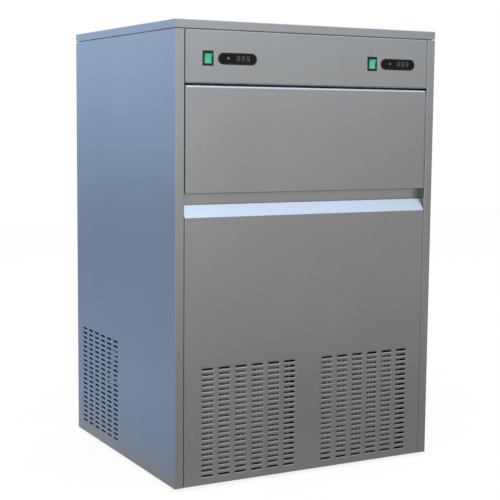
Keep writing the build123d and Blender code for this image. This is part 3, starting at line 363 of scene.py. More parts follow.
def slot_cells(centre, columns, rows, pitch, straight, radius, steps=4):
    """A group of round-ended holes in a flat sheet. Each hole lies in its own cell: its two end
    arcs are sampled by angle, and each sample is joined to a point of the cell's edge, so that
    cells meet point to point. Returns the points of all cells in (u, v), and their quads."""
    half_u, half_v = pitch[0] / 2, pitch[1] / 2
    angles = np.linspace(-pi / 2, pi / 2, 2 * steps + 1)
    end = np.stack([straight + radius * np.cos(angles), radius * np.sin(angles)], 1)
    quarter = np.linspace(0, 1, steps // 2 + 1)
    low = np.stack([straight + (half_u - straight) * quarter, np.full_like(quarter, -half_v)], 1)
    side = np.stack([np.full(steps - 1, half_u), half_v * np.linspace(-1, 1, steps + 1)[1:-1]], 1)
    outer = np.concatenate([low, side, (low * [1, -1])[::-1]])
    hole = np.concatenate([end, -end])
    edge = np.concatenate([outer, -outer])
    cell = np.concatenate([hole, edge])
    count = len(hole)
    i = np.arange(count)
    j = (i + 1) % count
    ring = np.stack([i, i + count, j + count, j], 1)
    u = (np.arange(columns) - (columns - 1) / 2) * pitch[0] + centre[0]
    v = (np.arange(rows) - (rows - 1) / 2) * pitch[1] + centre[1]
    places = np.stack(np.meshgrid(u, v, indexing="ij"), -1).reshape(-1, 1, 2)
    points = (places + cell).reshape(-1, 2)
    shift = (np.arange(columns * rows) * 2 * count)[:, None, None]
    return points, (ring + shift).reshape(-1, 4)


def slot_bank(centre, pitch, sizes):
    """A bank of vent slots as slot_cells takes it: its middle, its columns and rows, the pitch
    of both, half the straight run of a slot, and the radius of its ends."""
    radius = sizes.slot_height / 2
    straight = sizes.slot_length / 2 - radius
    return centre, SLOT_COLUMNS, SLOT_ROWS, (pitch, sizes.row_pitch), straight, radius


def flat_pattern(plates, groups):
    """A flat sheet in (u, v): plates (u0, u1, v0, v1, smooth) round groups of slots. A plate takes
    in every point that lies on its edge, so no plate meets the middle of another one's edge."""
    points, faces, smooth, start = [], [], [], 0
    for group in groups:
        some, quads = slot_cells(*group)
        points.append(some)
        faces.extend((quads + start).tolist())
        smooth.extend([False] * len(quads))
        start += len(some)
    corners = [[(u0, v0), (u1, v0), (u1, v1), (u0, v1)] for u0, u1, v0, v1, _ in plates]
    points.append(np.array(corners).reshape(-1, 2))
    points = np.concatenate(points)
    near = 1e-7
    for u0, u1, v0, v1, soft in plates:
        u, v = points[:, 0], points[:, 1]
        inside = (u > u0 - near) & (u < u1 + near) & (v > v0 - near) & (v < v1 + near)
        bottom = np.flatnonzero(inside & (abs(v - v0) < near))
        right = np.flatnonzero(inside & (abs(u - u1) < near))
        top = np.flatnonzero(inside & (abs(v - v1) < near))
        left = np.flatnonzero(inside & (abs(u - u0) < near))
        ring = np.concatenate(
            [
                bottom[np.argsort(u[bottom])],
                right[np.argsort(v[right])],
                top[np.argsort(-u[top])],
                left[np.argsort(-v[left])],
            ]
        )
        keep = np.ones(len(ring), bool)
        steps = np.linalg.norm(points[ring] - points[np.roll(ring, 1)], axis=1)
        keep[steps < near] = False
        faces.append(ring[keep].tolist())
        smooth.append(soft)
    return points, faces, smooth


def around(groups, u0, u1, v0, v1):
    """The plates that fill a flat rectangle round groups of slots that lie side by side along u."""
    edges = [u0]
    for (u, v), columns, rows, pitch, _, _ in groups:
        half_u, half_v = columns * pitch[0] / 2, rows * pitch[1] / 2
        edges += [u - half_u, u + half_u]
        low, high = v - half_v, v + half_v
    edges.append(u1)
    plates = [(u0, u1, v0, low, False), (u0, u1, high, v1, False)]
    plates += [(a, b, low, high, False) for a, b in zip(edges[::2], edges[1::2])]
    return plates


def thicken(piece, thickness, even=True):
    """Give a surface its wall, inwards from the drawn face."""
    wall = piece.modifiers.new("Wall", "SOLIDIFY")
    wall.thickness = thickness
    wall.offset = -1
    wall.use_even_offset = even
    # Long flat faces lead the shading, so a fold keeps one direction along its length
    piece.modifiers.new("Even_light", "WEIGHTED_NORMAL")


def soften(piece, width, segments=2, angle=30):
    """Round a piece's sharp edges."""
    bevel = piece.modifiers.new("Edges", "BEVEL")
    bevel.width = width
    bevel.segments = segments
    bevel.limit_method = "ANGLE"
    bevel.angle_limit = radians(angle)


# Materials


def add_node(tree, kind, settings=None, links=None):
    """Add one node. settings sets its sockets or its properties, links joins its sockets to
    (node, output) pairs, and a number in either names a socket by its place."""
    node = tree.nodes.new(kind)
    for key, value in (settings or {}).items():
        if isinstance(key, str) and key not in node.inputs:
            setattr(node, key, value)
        else:
            node.inputs[key].default_value = value
    for key, (source, output) in (links or {}).items():
        tree.links.new(source.outputs[output], node.inputs[key])
    return node


def begin(name):
    """A new material with no nodes, and its node tree."""
    material = bpy.data.materials.new(name)
    material.use_nodes = True
    material.node_tree.nodes.clear()
    return material, material.node_tree


def close(tree, shader):
    """Join the last shader to the output."""
    add_node(tree, "ShaderNodeOutputMaterial", links={"Surface": (shader, 0)})


# Noise lies mostly between these two values, and is stretched from them to a full range
NOISE_RANGE = {"From Min": 0.3, "From Max": 0.7}


def pattern(tree, width, detail=2.0, stretch=(1, 1, 1), roughness=0.5):
    """Noise in the piece's own coordinates. width is the size of a feature, and stretch makes
    it finer or coarser along X, Y and Z."""
    place = add_node(tree, "ShaderNodeTexCoord")
    turn = add_node(tree, "ShaderNodeMapping", {"Scale": stretch}, {"Vector": (place, "Object")})
    return add_node(
        tree,
        "ShaderNodeTexNoise",
        {"Scale": 1 / width, "Detail": detail, "Roughness": roughness},
        {"Vector": (turn, 0)},
    )


def mottled(tree, noise, first, second):
    """Two colours mixed by noise, from the first where it is low to the second where it is high."""
    share = add_node(tree, "ShaderNodeMapRange", NOISE_RANGE, {"Value": (noise, 0)})
    return add_node(
        tree, "ShaderNodeMix", {"data_type": "RGBA", 6: first, 7: second}, {0: (share, 0)}
    )


def shade(colour, by):
    """A linear colour made lighter or darker."""
    return tuple(c * by for c in colour[:3]) + (1.0,)


def brushed_stainless(name, hex_colour, stretch, rough=0.33, cloud=0.03):
    """Cold-rolled 430 stainless with a brushed finish. The strokes run one way and spread a
    reflection across themselves, and handling leaves faint clouds. Real strokes are about
    0.1 mm wide; here they are drawn over 2 mm wide, so that they show in the render."""
    material, tree = begin(name)
    colour = linear(hex_colour)
    strokes = pattern(tree, 2.381 * MM, 3.0, stretch, 0.6)
    clouds = pattern(tree, 200 * MM, 3.0)
    base = mottled(tree, clouds, shade(colour, 1 - cloud), shade(colour, 1 + cloud))
    line = add_node(tree, "ShaderNodeMapRange", NOISE_RANGE, {"Value": (strokes, 0)})
    lined = add_node(
        tree,
        "ShaderNodeMix",
        {"data_type": "RGBA", "blend_type": "MULTIPLY", 0: 0.04},
        {6: (base, 2), 7: (line, 0)},
    )
    gloss = add_node(
        tree,
        "ShaderNodeMapRange",
        {**NOISE_RANGE, "To Min": rough - 0.02, "To Max": rough + 0.03},
        {"Value": (strokes, 0)},
    )
    bump = add_node(
        tree, "ShaderNodeBump", {"Strength": 0.03, "Distance": 0.2 * MM}, {"Height": (strokes, 0)}
    )
    steel = add_node(
        tree,
        "ShaderNodeBsdfPrincipled",
        {"Metallic": 1.0},
        {"Base Color": (lined, 2), "Roughness": (gloss, 0), "Normal": (bump, 0)},
    )
    close(tree, steel)
    return material


def zinc_sheet(name, hex_colour):
    """Hot-dip zinc-coated steel: spangles of about 12 mm, each a slightly different grey."""
    material, tree = begin(name)
    colour = linear(hex_colour)
    place = add_node(tree, "ShaderNodeTexCoord")
    spangle = add_node(
        tree,
        "ShaderNodeTexVoronoi",
        {"Scale": 1 / (11.765 * MM)},
        {"Vector": (place, "Object")},
    )
    grey = add_node(tree, "ShaderNodeSeparateColor", links={"Color": (spangle, "Color")})
    base = add_node(
        tree,
        "ShaderNodeMix",
        {"data_type": "RGBA", 6: shade(colour, 0.82), 7: shade(colour, 1.05)},
        {0: (grey, 0)},
    )
    gloss = add_node(
        tree, "ShaderNodeMapRange", {"To Min": 0.32, "To Max": 0.5}, {"Value": (grey, 1)}
    )
    shader = add_node(
        tree,
        "ShaderNodeBsdfPrincipled",
        {"Metallic": 0.9},
        {"Base Color": (base, 2), "Roughness": (gloss, 0)},
    )
    close(tree, shader)
    return material


def moulded(name, hex_colour, rough=0.45, grain=1.111 * MM, depth=0.05 * MM, shine=0.5):
    """Injection-moulded plastic or rubber: an even colour with a fine spark-eroded grain. Real
    grain is about 0.1 mm wide, and is drawn coarser so that it shows in the render."""
    material, tree = begin(name)
    colour = linear(hex_colour)
    skin = pattern(tree, grain)
    drift = pattern(tree, 111.1 * MM)
    base = mottled(tree, drift, shade(colour, 0.94), shade(colour, 1.06))
    gloss = add_node(
        tree,
        "ShaderNodeMapRange",
        {**NOISE_RANGE, "To Min": rough - 0.04, "To Max": rough + 0.04},
        {"Value": (drift, 0)},
    )
    bump = add_node(
        tree, "ShaderNodeBump", {"Strength": 0.25, "Distance": depth}, {"Height": (skin, 0)}
    )
    shader = add_node(
        tree,
        "ShaderNodeBsdfPrincipled",
        {"Specular IOR Level": shine},
        {"Base Color": (base, 2), "Roughness": (gloss, 0), "Normal": (bump, 0)},
    )
    close(tree, shader)
    return material


def foam(name, hex_colour):
    """Rigid polyurethane foam: small closed cells, a straw colour and no shine."""
    material, tree = begin(name)
    colour = linear(hex_colour)
    place = add_node(tree, "ShaderNodeTexCoord")
    cells = add_node(
        tree,
        "ShaderNodeTexVoronoi",
        {"Scale": 1 / (2.222 * MM)},
        {"Vector": (place, "Object")},
    )
    patches = pattern(tree, 71.43 * MM)
    base = mottled(tree, patches, shade(colour, 0.85), shade(colour, 1.05))
    bump = add_node(
        tree, "ShaderNodeBump", {"Strength": 0.5, "Distance": 0.6 * MM}, {"Height": (cells, 0)}
    )
    shader = add_node(
        tree,
        "ShaderNodeBsdfPrincipled",
        {"Roughness": 0.9},
        {"Base Color": (base, 2), "Normal": (bump, 0)},
    )
    close(tree, shader)
    return material


def plain_metal(name, hex_colour, rough, tarnish=0.12):
    """Drawn or plated metal, such as copper tube: a soft shine with a patchy tarnish."""
    material, tree = begin(name)
    colour = linear(hex_colour)
    patches = pattern(tree, 33.33 * MM, 4.0)
    base = mottled(tree, patches, shade(colour, 1 - tarnish), shade(colour, 1 + tarnish / 2))
    gloss = add_node(
        tree,
        "ShaderNodeMapRange",
        {**NOISE_RANGE, "To Min": rough + 0.06, "To Max": rough - 0.06},
        {"Value": (patches, 0)},
    )
    shader = add_node(
        tree,
        "ShaderNodeBsdfPrincipled",
        {"Metallic": 1.0},
        {"Base Color": (base, 2), "Roughness": (gloss, 0)},
    )
    close(tree, shader)
    return material


def enamel(name, hex_colour):
    """Stoved black enamel on a steel shell: a hard gloss with a slight orange peel."""
    material, tree = begin(name)
    colour = linear(hex_colour)
    peel = pattern(tree, 3.846 * MM)
    patches = pattern(tree, 83.33 * MM)
    base = mottled(tree, patches, shade(colour, 0.85), shade(colour, 1.2))
    bump = add_node(
        tree, "ShaderNodeBump", {"Strength": 0.2, "Distance": 0.2 * MM}, {"Height": (peel, 0)}
    )
    shader = add_node(
        tree,
        "ShaderNodeBsdfPrincipled",
        {"Roughness": 0.28, "Coat Weight": 0.5, "Coat Roughness": 0.12},
        {"Base Color": (base, 2), "Normal": (bump, 0)},
    )
    close(tree, shader)
    return material


def lit_rocker(name, hex_colour, hex_glow, centres):
    """Translucent polycarbonate rocker with a lamp behind it: the glow is strongest over the
    lamp, in the middle of the cap, and falls off towards its edges."""
    material, tree = begin(name)
    colour = linear(hex_colour)
    place = add_node(tree, "ShaderNodeTexCoord")
    glow = None
    for centre in centres:
        near = add_node(
            tree,
            "ShaderNodeMapping",
            {"vector_type": "TEXTURE", "Location": centre, "Scale": ROCKER_GLOW_REACH},
            {"Vector": (place, "Object")},
        )
        ball = add_node(
            tree, "ShaderNodeTexGradient", {"gradient_type": "SPHERICAL"}, {"Vector": (near, 0)}
        )
        if glow is None:
            glow = ball
        else:
            glow = add_node(
                tree, "ShaderNodeMath", {"operation": "MAXIMUM"}, {0: (glow, 0), 1: (ball, 0)}
            )
    lamp = add_node(
        tree,
        "ShaderNodeMix",
        {"data_type": "RGBA", 6: shade(colour, 0.35), 7: linear(hex_glow)},
        {0: (glow, 0)},
    )
    shader = add_node(
        tree,
        "ShaderNodeBsdfPrincipled",
        {"Base Color": colour, "Roughness": 0.25, "IOR": 1.58, "Emission Strength": 0.36},
        {"Emission Color": (lamp, 2)},
    )
    close(tree, shader)
    return material


def make_materials():
    """All finishes by the name of the record's material slot."""
    colours = bpy.context.scene.ice_machine_colours
    lamps = []
    for side, _ in SIDES:
        low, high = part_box(f"switch_rocker_{side}")
        lamps.append(tuple((low + high) / 2))
    brushed_upright = (1, 1, 0.02)
    return {
        "stainless": brushed_stainless(
            "Brushed_430_stainless_sheet", colours.steel, brushed_upright
        ),
        "zinc_sheet": zinc_sheet("Zinc_coated_steel_sheet", colours.zinc),
        "foam": foam("Rigid_polyurethane_foam", "#d9c99a"),
        "liner_plastic": moulded("Vacuum_formed_HIPS_liner", colours.liner, 0.3, 3.333 * MM),
        "gasket_rubber": moulded("Soft_PVC_gasket", "#6a6d71", 0.55),
        "nylon": moulded("Turned_nylon", "#e2dfd2", 0.4),
        "steel_pin": plain_metal("Polished_steel_pin", "#b6b8ba", 0.2),
        "switch_plastic": moulded(
            "Moulded_polycarbonate_bezel", colours.bezel, 0.3, 2 * MM, shine=0.25
        ),
        "rocker_green": lit_rocker(
            "Lit_polycarbonate_rocker", colours.green, colours.glow, lamps
        ),
        "display_plastic": moulded("Gloss_ABS_bezel", colours.black, 0.25, 2 * MM, shine=0.2),
        "display_window": moulded(
            "Smoked_acrylic_window", "#07080b", 0.1, 16.667 * MM, 0.01 * MM, 0.12
        ),
        "nickel_copper": plain_metal("Nickel_plated_copper", "#c5bfb4", 0.22),
        "copper": plain_metal("Drawn_copper_tube", colours.copper, 0.3, 0.3),
        "tray_plastic": moulded("Translucent_polypropylene", "#cfd9e2", 0.35, 5 * MM),
        "fins": plain_metal("Aluminium_fin_stock", "#c2c4c7", 0.35),
        "black_enamel": enamel("Stoved_black_enamel", "#111214"),
        "black_rubber": moulded("EPDM_rubber", "#141414", 0.75),
        "black_plastic": moulded("Black_polypropylene", "#161719", 0.5),
        "brass_fitting": plain_metal("Machined_brass", "#c0a064", 0.28),
        "hose": moulded("Silicone_hose", "#cfd3d6", 0.4),
    }


MATERIALS = {}


class ICE_OT_finishes(bpy.types.Operator):
    """Make every finish and give it to the CAD nodes of its slot"""

    bl_idname = "ice_machine.finishes"
    bl_label = "Finishes"

    def execute(self, context):
        MATERIALS.update(make_materials())
        for part in frame["record"]["subparts"]:
            mesh = frame["nodes"][part["node"]].data
            mesh.materials.clear()
            mesh.materials.append(MATERIALS[part["material_slot"]])
        return {"FINISHED"}


# Pieces


class ICE_OT_lower_panel(bpy.types.Operator):
    """Fold the lower front panel, with its leaning ledge and two groups of round-ended slots"""

    bl_idname = "ice_machine.lower_panel"
    bl_label = "Lower front panel"

    def execute(self, context):
        sizes = context.scene.ice_machine_sizes
        low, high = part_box("lower_front_panel")
        half, rear = high.x + PANEL_REACH, high.y
        ledge_foot = (FRONT_Y, BASE_Z + LEDGE_FOOT)
        ledge_head = (FRONT_Y + LEDGE_LEAN, high.z)
        path, run, straights = folded_path(
            [(rear, low.z), (FRONT_Y, low.z), ledge_foot, ledge_head, (rear, high.z)], sizes.bend, 4
        )
        face = straights[1]
        foot = run[face] - (path[face, 1] - BASE_Z)
        middle = foot + FRONT_FIRST_ROW + (SLOT_ROWS - 1) / 2 * sizes.row_pitch
        groups = [
            slot_bank((hand * FRONT_BANK_OFFSET, middle), FRONT_SLOT_PITCH, sizes)
            for _, hand in SIDES
        ]
        fold_radius = 0.75 * sizes.bend
        edge = half - fold_radius
        plates = around(groups, -edge, edge, run[face], run[face + 1])
        for i, (start, end) in enumerate(zip(run, run[1:])):
            if i != face:
                plates.append((-edge, edge, start, end, i not in straights))
        flat, faces, smooth = flat_pattern(plates, groups)
        u, v = flat[:, 0], flat[:, 1]
        body = np.stack([u, np.interp(v, run, path[:, 0]), np.interp(v, run, path[:, 1])], 1)
        parts = [(body, faces)]
        # Side folds: a quarter round carried along the same path, and the return behind it
        steps = np.diff(path, axis=0)
        steps /= np.linalg.norm(steps, axis=1)[:, None]
        ahead = np.concatenate([steps[:1], steps[1:] + steps[:-1], steps[-1:]])
        ahead /= np.linalg.norm(ahead, axis=1)[:, None]
        inward = np.stack([ahead[:, 1], -ahead[:, 0]], 1)
        turns = np.linspace(0, pi / 2, 5)
        for _, hand in SIDES:
            shift = fold_radius * (1 - np.cos(turns))
            x = hand * (edge + fold_radius * np.sin(turns))
            yz = path[:, None, :] + inward[:, None, :] * shift[None, :, None]
            fold = np.concatenate([np.broadcast_to(x[None, :, None], (*yz.shape[:2], 1)), yz], -1)
            quads = grid_faces(len(path), len(turns))
            if hand < 0:
                quads = [q[::-1] for q in quads]
            parts.append((fold.reshape(-1, 3), [q[::-1] for q in quads]))
            wall = fold[:, -1, :]
            back_line = wall.copy()
            back_line[:, 1] = rear
            returns = np.concatenate([wall[1:-1], back_line[1:-1]])
            quads = grid_faces(2, len(path) - 2)
            parts.append((returns, quads if hand < 0 else [q[::-1] for q in quads]))
            smooth += [True] * ((len(turns) - 1) * (len(path) - 1)) + [False] * (len(path) - 3)
        points, faces = join_parts(parts)
        panel = put_mesh("lower_front_sheet", points, faces, smooth, outward=True)
        thicken(panel, sizes.sheet, even=False)
        finish_piece(panel, "cabinet", MATERIALS["stainless"], ["lower_front_panel"])
        return {"FINISHED"}


class ICE_OT_left_side(bpy.types.Operator):
    """Fold the left side with its front post, and punch its group of round-ended slots"""

    bl_idname = "ice_machine.left_side"
    bl_label = "Left side"

    def execute(self, context):
        sizes = context.scene.ice_machine_sizes
        low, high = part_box("left_side_panel")
        post = low.x + POST_WIDTH
        corners = [
            (low.x + REAR_FLANGE, high.y),
            (low.x, high.y),
            (low.x, low.y),
            (post, low.y),
            (post, low.y + POST_RETURN),
        ]
        path, run, straights = folded_path(corners, SIDE_BEND)
        wall, post_return = straights[1], straights[-1]
        middle_y = low.y + SIDE_FIRST_COLUMN + (SLOT_COLUMNS - 1) / 2 * SIDE_SLOT_PITCH
        middle_z = BASE_Z + SIDE_FIRST_ROW + (SLOT_ROWS - 1) / 2 * sizes.row_pitch
        middle = (run[wall] + path[wall, 1] - middle_y, middle_z)
        vents = [slot_bank(middle, SIDE_SLOT_PITCH, sizes)]
        plates = around(vents, run[wall], run[wall + 1], low.z, high.z)
        pin_place = (run[-1] - (POST_RETURN - PIN_DEPTH), BASE_Z + PIN_HEIGHT)
        pin = [(pin_place, 1, 1, (PIN_CELL, PIN_CELL), 0.0, PIN_HOLE_RADIUS)]
        plates += around(pin, run[post_return], run[post_return + 1], low.z, high.z)
        for i, (start, end) in enumerate(zip(run, run[1:])):
            if i not in (wall, post_return):
                plates.append((start, end, low.z, high.z, i not in straights))
        flat, faces, smooth = flat_pattern(plates, vents + pin)
        u, v = flat[:, 0], flat[:, 1]
        body = np.stack([np.interp(u, run, path[:, 0]), np.interp(u, run, path[:, 1]), v], 1)
        # The return under the lid
        outer, inner = low.x + sizes.sheet / 2, low.x + TOP_RETURN
        front, rear = low.y + TOP_RETURN_FRONT, high.y - TOP_RETURN_REAR
        shelf = [(outer, front), (inner, front), (inner, rear), (outer, rear)]
        shelf = [(x, y, high.z) for x, y in shelf]
        points, faces = join_parts([(body, faces), (shelf, [[0, 1, 2, 3]])])
        side = put_mesh("left_side_sheet", points, faces, smooth + [False])
        thicken(side, sizes.sheet)
        finish_piece(side, "cabinet", MATERIALS["stainless"], ["left_side_panel"])
        return {"FINISHED"}


class ICE_OT_rockers(bpy.types.Operator):
    """Shape the lit rockers: a hollow front between two raised ends, on a rounded cap"""

    bl_idname = "ice_machine.rockers"
    bl_label = "Rockers"

    def execute(self, context):
        for side, _ in SIDES:
            low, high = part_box(f"switch_rocker_{side}")
            x = (low.x + high.x) / 2
            t = np.linspace(-1, 1, 17)
            front = np.stack([-(ROCKER_STAND + ROCKER_HOLLOW * t**2), ROCKER_HALF_HEIGHT * t], 1)
            heel = [
                (0, ROCKER_HALF_HEIGHT),
                (HEEL_DEPTH, HEEL_HALF_HEIGHT),
                (HEEL_DEPTH, -HEEL_HALF_HEIGHT),
                (0, -ROCKER_HALF_HEIGHT),
            ]
            outline = np.concatenate([front, heel]) - [ROCKER_PIVOT_DEPTH, 0]
            # Tipped about its pivot, which lies at the outline's origin
            c, s = cos(ROCKER_TILT), sin(ROCKER_TILT)
            outline = outline @ np.array([[c, s], [-s, c]])
            outline += [FRONT_Y + ROCKER_PIVOT_DEPTH, BASE_Z + ROCKER_HEIGHT]
            count = len(outline)
            points = np.concatenate(
                [
                    np.column_stack([np.full(count, x + hand * ROCKER_HALF_WIDTH), outline])
                    for _, hand in SIDES
                ]
            )
            faces = grid_faces(2, count, close_columns=True)
            faces += [list(range(count))[::-1], list(range(count, 2 * count))]
            flags = [False] * len(faces)
            rocker = put_mesh(f"rocker_cap_{side}", points, faces, flags, outward=True)
            soften(rocker, ROCKER_EDGE, 3)
            green = MATERIALS["rocker_green"]
            replaced = [f"switch_rocker_{side}"]
            finish_piece(rocker, f"rocker_{side}", green, replaced)
        return {"FINISHED"}


class ICE_OT_displays(bpy.types.Operator):
    """Set unlit digits and one round indicator behind each display window"""

    bl_idname = "ice_machine.displays"
    bl_label = "Displays"

    def execute(self, context):
        sizes = context.scene.ice_machine_sizes
        colour = context.scene.ice_machine_colours.digits
        material = moulded("Unlit_LED_segments", colour, 0.5, 2.5 * MM)
        height = sizes.digit_height
        width, bar = DIGIT_WIDTH_SHARE * height, BAR_WIDTH_SHARE * height
        # A bar with pointed ends, in halves of its length and wholes of its width
        outline = np.array([(-1, 0), (-0.8, -0.5), (0.8, -0.5), (1, 0), (0.8, 0.5), (-0.8, 0.5)])
        flat = outline * [(width - 0.6 * bar) / 2, bar]
        upright = (outline * [(height / 2 - 0.6 * bar) / 2, bar])[:, ::-1] * [-1, 1]
        bars = [flat + [0, k * height / 2] for k in (-1, 0, 1)]
        bars += [upright + [a * width / 2, b * height / 4] for a in (-1, 1) for b in (-1, 1)]
        angles = np.arange(24) * 2 * pi / 24
        circle = np.column_stack([np.cos(angles), np.sin(angles)])
        shapes = [piece + [place, 0] for place in DIGIT_PLACES for piece in bars]
        shapes.append([INDICATOR_PLACE, 0] + INDICATOR_RADIUS * circle)
        for side, _ in SIDES:
            low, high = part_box(f"display_lens_{side}")
            x, z = (low.x + high.x) / 2, (low.z + high.z) / 2 + DIGIT_RAISE
            parts = []
            for shape in shapes:
                depth = np.full(len(shape), low.y - DIGIT_STAND)
                points = np.column_stack([x + shape[:, 0], depth, z + shape[:, 1]])
                parts.append((points, [list(range(len(shape)))]))
            points, faces = join_parts(parts)
            digits = put_mesh(f"display_digits_{side}", points, faces, [False] * len(faces))
            thicken(digits, DIGIT_THICKNESS)
            finish_piece(digits, "cabinet", material)
        return {"FINISHED"}


class ICE_OT_fingers(bpy.types.Operator):
    """Turn the freezing fingers with their round tips, on a brazed ring manifold"""

    bl_idname = "ice_machine.fingers"
    bl_label = "Freezing fingers"

    def execute(self, context):
        sizes = context.scene.ice_machine_sizes
        for side, _ in SIDES:
            low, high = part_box(f"evaporator_{side}")
            cx, cy = (low.x + high.x) / 2, (low.y + high.y) / 2
            foot = BASE_Z + MANIFOLD_FOOT
            x = (np.arange(FINGER_COLUMNS) - (FINGER_COLUMNS - 1) / 2) * FINGER_PITCH + cx
            y = np.array([-FINGER_ROW_OFFSET, FINGER_ROW_OFFSET]) + cy
            places = np.stack(np.meshgrid(x, y, indexing="ij"), -1).reshape(-1, 2)
            tip, root = FINGER_TIP_RADIUS, sizes.finger_radius
            a = np.linspace(0, pi / 2, 7)
            round_tip = np.column_stack([tip * np.sin(a), low.z + tip * (1 - np.cos(a))])
            shank = np.array([(root, foot - BRAZE_HEIGHT), (root + BRAZE_WIDTH, foot)])
            profile = np.concatenate([round_tip, shank])
            centres = np.column_stack([places, np.zeros(len(places))])
            fingers = turned(profile, centres, steps=24)
            # Manifold: a rounded square section carried along a rounded rectangle
            half = np.array([(high.x - low.x) / 2 - MANIFOLD_HALF_WIDTH, FINGER_ROW_OFFSET])
            q = np.linspace(0, pi / 2, 7)
            arcs = [
                np.column_stack([np.cos(q + k * pi / 2), np.sin(q + k * pi / 2)]) * MANIFOLD_CORNER
                + (half - MANIFOLD_CORNER) * sign
                for k, sign in enumerate(np.array([(1, 1), (-1, 1), (-1, -1), (1, -1)]))
            ]
            line = np.concatenate(arcs)
            ahead = np.roll(line, -1, 0) - np.roll(line, 1, 0)
            ahead /= np.linalg.norm(ahead, axis=1)[:, None]
            out = np.column_stack([ahead[:, 1], -ahead[:, 0]])
            # The section: a circle whose two coordinates are each drawn out to their square root
            s = np.arange(24) * 2 * pi / 24
            circle = np.stack([np.cos(s), np.sin(s)])
            bulge = np.sign(circle) * np.sqrt(abs(circle))
            across = (bulge[0] * MANIFOLD_HALF_WIDTH)[None, :, None]
            up = (bulge[1] * MANIFOLD_HALF_HEIGHT)[None, :, None]
            ring = np.concatenate(
                [
                    line[:, None, :] + out[:, None, :] * across,
                    np.broadcast_to(up, (len(line), len(s), 1)),
                ],
                -1,
            )
            ring += [cx, cy, foot + MANIFOLD_HALF_HEIGHT]
            quads = grid_faces(len(line), len(s), True, True)
            studs = turned(
                [(STUD_RADIUS, foot + STUD_START), (STUD_RADIUS, high.z)],
                [(cx + k * half[0], cy, 0) for k in (-1, 1)],
                steps=20,
            )
            points, faces = join_parts([fingers, (ring.reshape(-1, 3), quads), studs])
            bank = put_mesh(f"finger_bank_{side}", points, faces, outward=True)
            finish_piece(
                bank, "cabinet", MATERIALS["nickel_copper"], [f"evaporator_{side}"]
            )
        return {"FINISHED"}


class ICE_OT_screws(bpy.types.Operator):
    """Drive cross-head screws into the back panel and the lid's rear skirt"""

    bl_idname = "ice_machine.screws"
    bl_label = "Screws"

    def execute(self, context):
        edge_x = BACK_HIGH.x - SIDE_SCREW_INSET
        heights = BASE_Z + SIDE_SCREW_HEIGHTS
        places = [(hand * edge_x, BACK_HIGH.y, z) for _, hand in SIDES for z in heights]
        places += [(x, BACK_HIGH.y, BASE_Z + TOP_SCREW_HEIGHT) for x in TOP_SCREW_PLACES]
        places += [(x, REAR_Y, LID_LOW.z + LID_SCREW_HEIGHT) for x in LID_SCREW_PLACES]
        # Height over the sheet: a dome over the radius, less a cross that is deepest in the middle
        rings, turns = 9, 32
        r = np.linspace(0, 1, rings)[:, None]
        a = np.arange(turns)[None, :] * 2 * pi / turns
        arms = np.maximum(abs(np.cos(a)), abs(np.sin(a))) ** 24
        dome = SCREW_DOME * np.sqrt(1 - 0.86 * r**2)
        cross = SCREW_CROSS_DEPTH * arms * np.clip(1.3 - 2.0 * r, 0, 1) * np.ones_like(r)
        x, z = SCREW_RADIUS * r * np.cos(a), SCREW_RADIUS * r * np.sin(a)
        skin = np.stack([x, dome - cross, z], -1)
        rim = skin[-1] * [1, 0, 1]
        head = np.concatenate([skin.reshape(-1, 3), rim])
        quads = grid_faces(rings + 1, turns, close_columns=True)
        points, faces = join_parts([(head + np.array(p), quads) for p in places])
        screws = put_mesh("back_screws", points, faces)
        finish_piece(screws, "cabinet", MATERIALS["steel_pin"])
        return {"FINISHED"}


def strip_outline(start, width, front, depth):
    """The section of a folded edge: a strip of the given width and depth with a round front."""
    radius = width / 2
    turns = np.linspace(0, pi, 9)
    nose = [(start + radius * (1 - cos(t)), front + radius * (1 - sin(t))) for t in turns]
    return np.array(nose + [(start + width, front + depth), (start, front + depth)])


def strip_part(outline, low, high, along):
    """The strip's section carried from low to high, along X or along Z, and closed."""
    count = len(outline)
    flat = [(*p, h) for h in (low, high) for p in outline]
    points = [(h, y, a) if along == "X" else (a, y, h) for a, y, h in flat]
    faces = grid_faces(2, count, close_columns=True)
    faces += [list(range(count))[::-1], list(range(count, 2 * count))]
    if along == "Z":
        faces = [f[::-1] for f in faces]
    return points, faces


class ICE_OT_edges(bpy.types.Operator):
    """Add the folded edges of the fascia and the door, which narrow the gaps beside them"""

    bl_idname = "ice_machine.edges"
    bl_label = "Folded edges"

    def execute(self, context):
        low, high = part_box("control_fascia")
        hem = strip_outline(low.z - FASCIA_HEM, FASCIA_HEM, low.y, FASCIA_HEM_DEPTH)
        parts = [strip_part(hem, low.x, high.x, "X")]
        for x in (low.x - FASCIA_EDGE, high.x):
            edge = strip_outline(x, FASCIA_EDGE, low.y, FASCIA_EDGE_DEPTH)
            parts.append(strip_part(edge, low.z, high.z, "Z"))
        # The door's edges stop short of its round top and of the hinge bushes
        low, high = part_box("door_skin")
        sides = []
        for x in (low.x - DOOR_EDGE, high.x):
            edge = strip_outline(x, DOOR_EDGE, low.y, DOOR_EDGE_DEPTH)
            sides.append(strip_part(edge, low.z + DOOR_EDGE_FOOT, high.z - DOOR_EDGE_HEAD, "Z"))
        for name, body, some in (("fascia_edges", "cabinet", parts), ("door_edges", "door", sides)):
            points, faces = join_parts(some)
            piece = put_mesh(name, points, faces, [False] * len(faces), outward=True)
            finish_piece(piece, body, MATERIALS["stainless"])
        return {"FINISHED"}


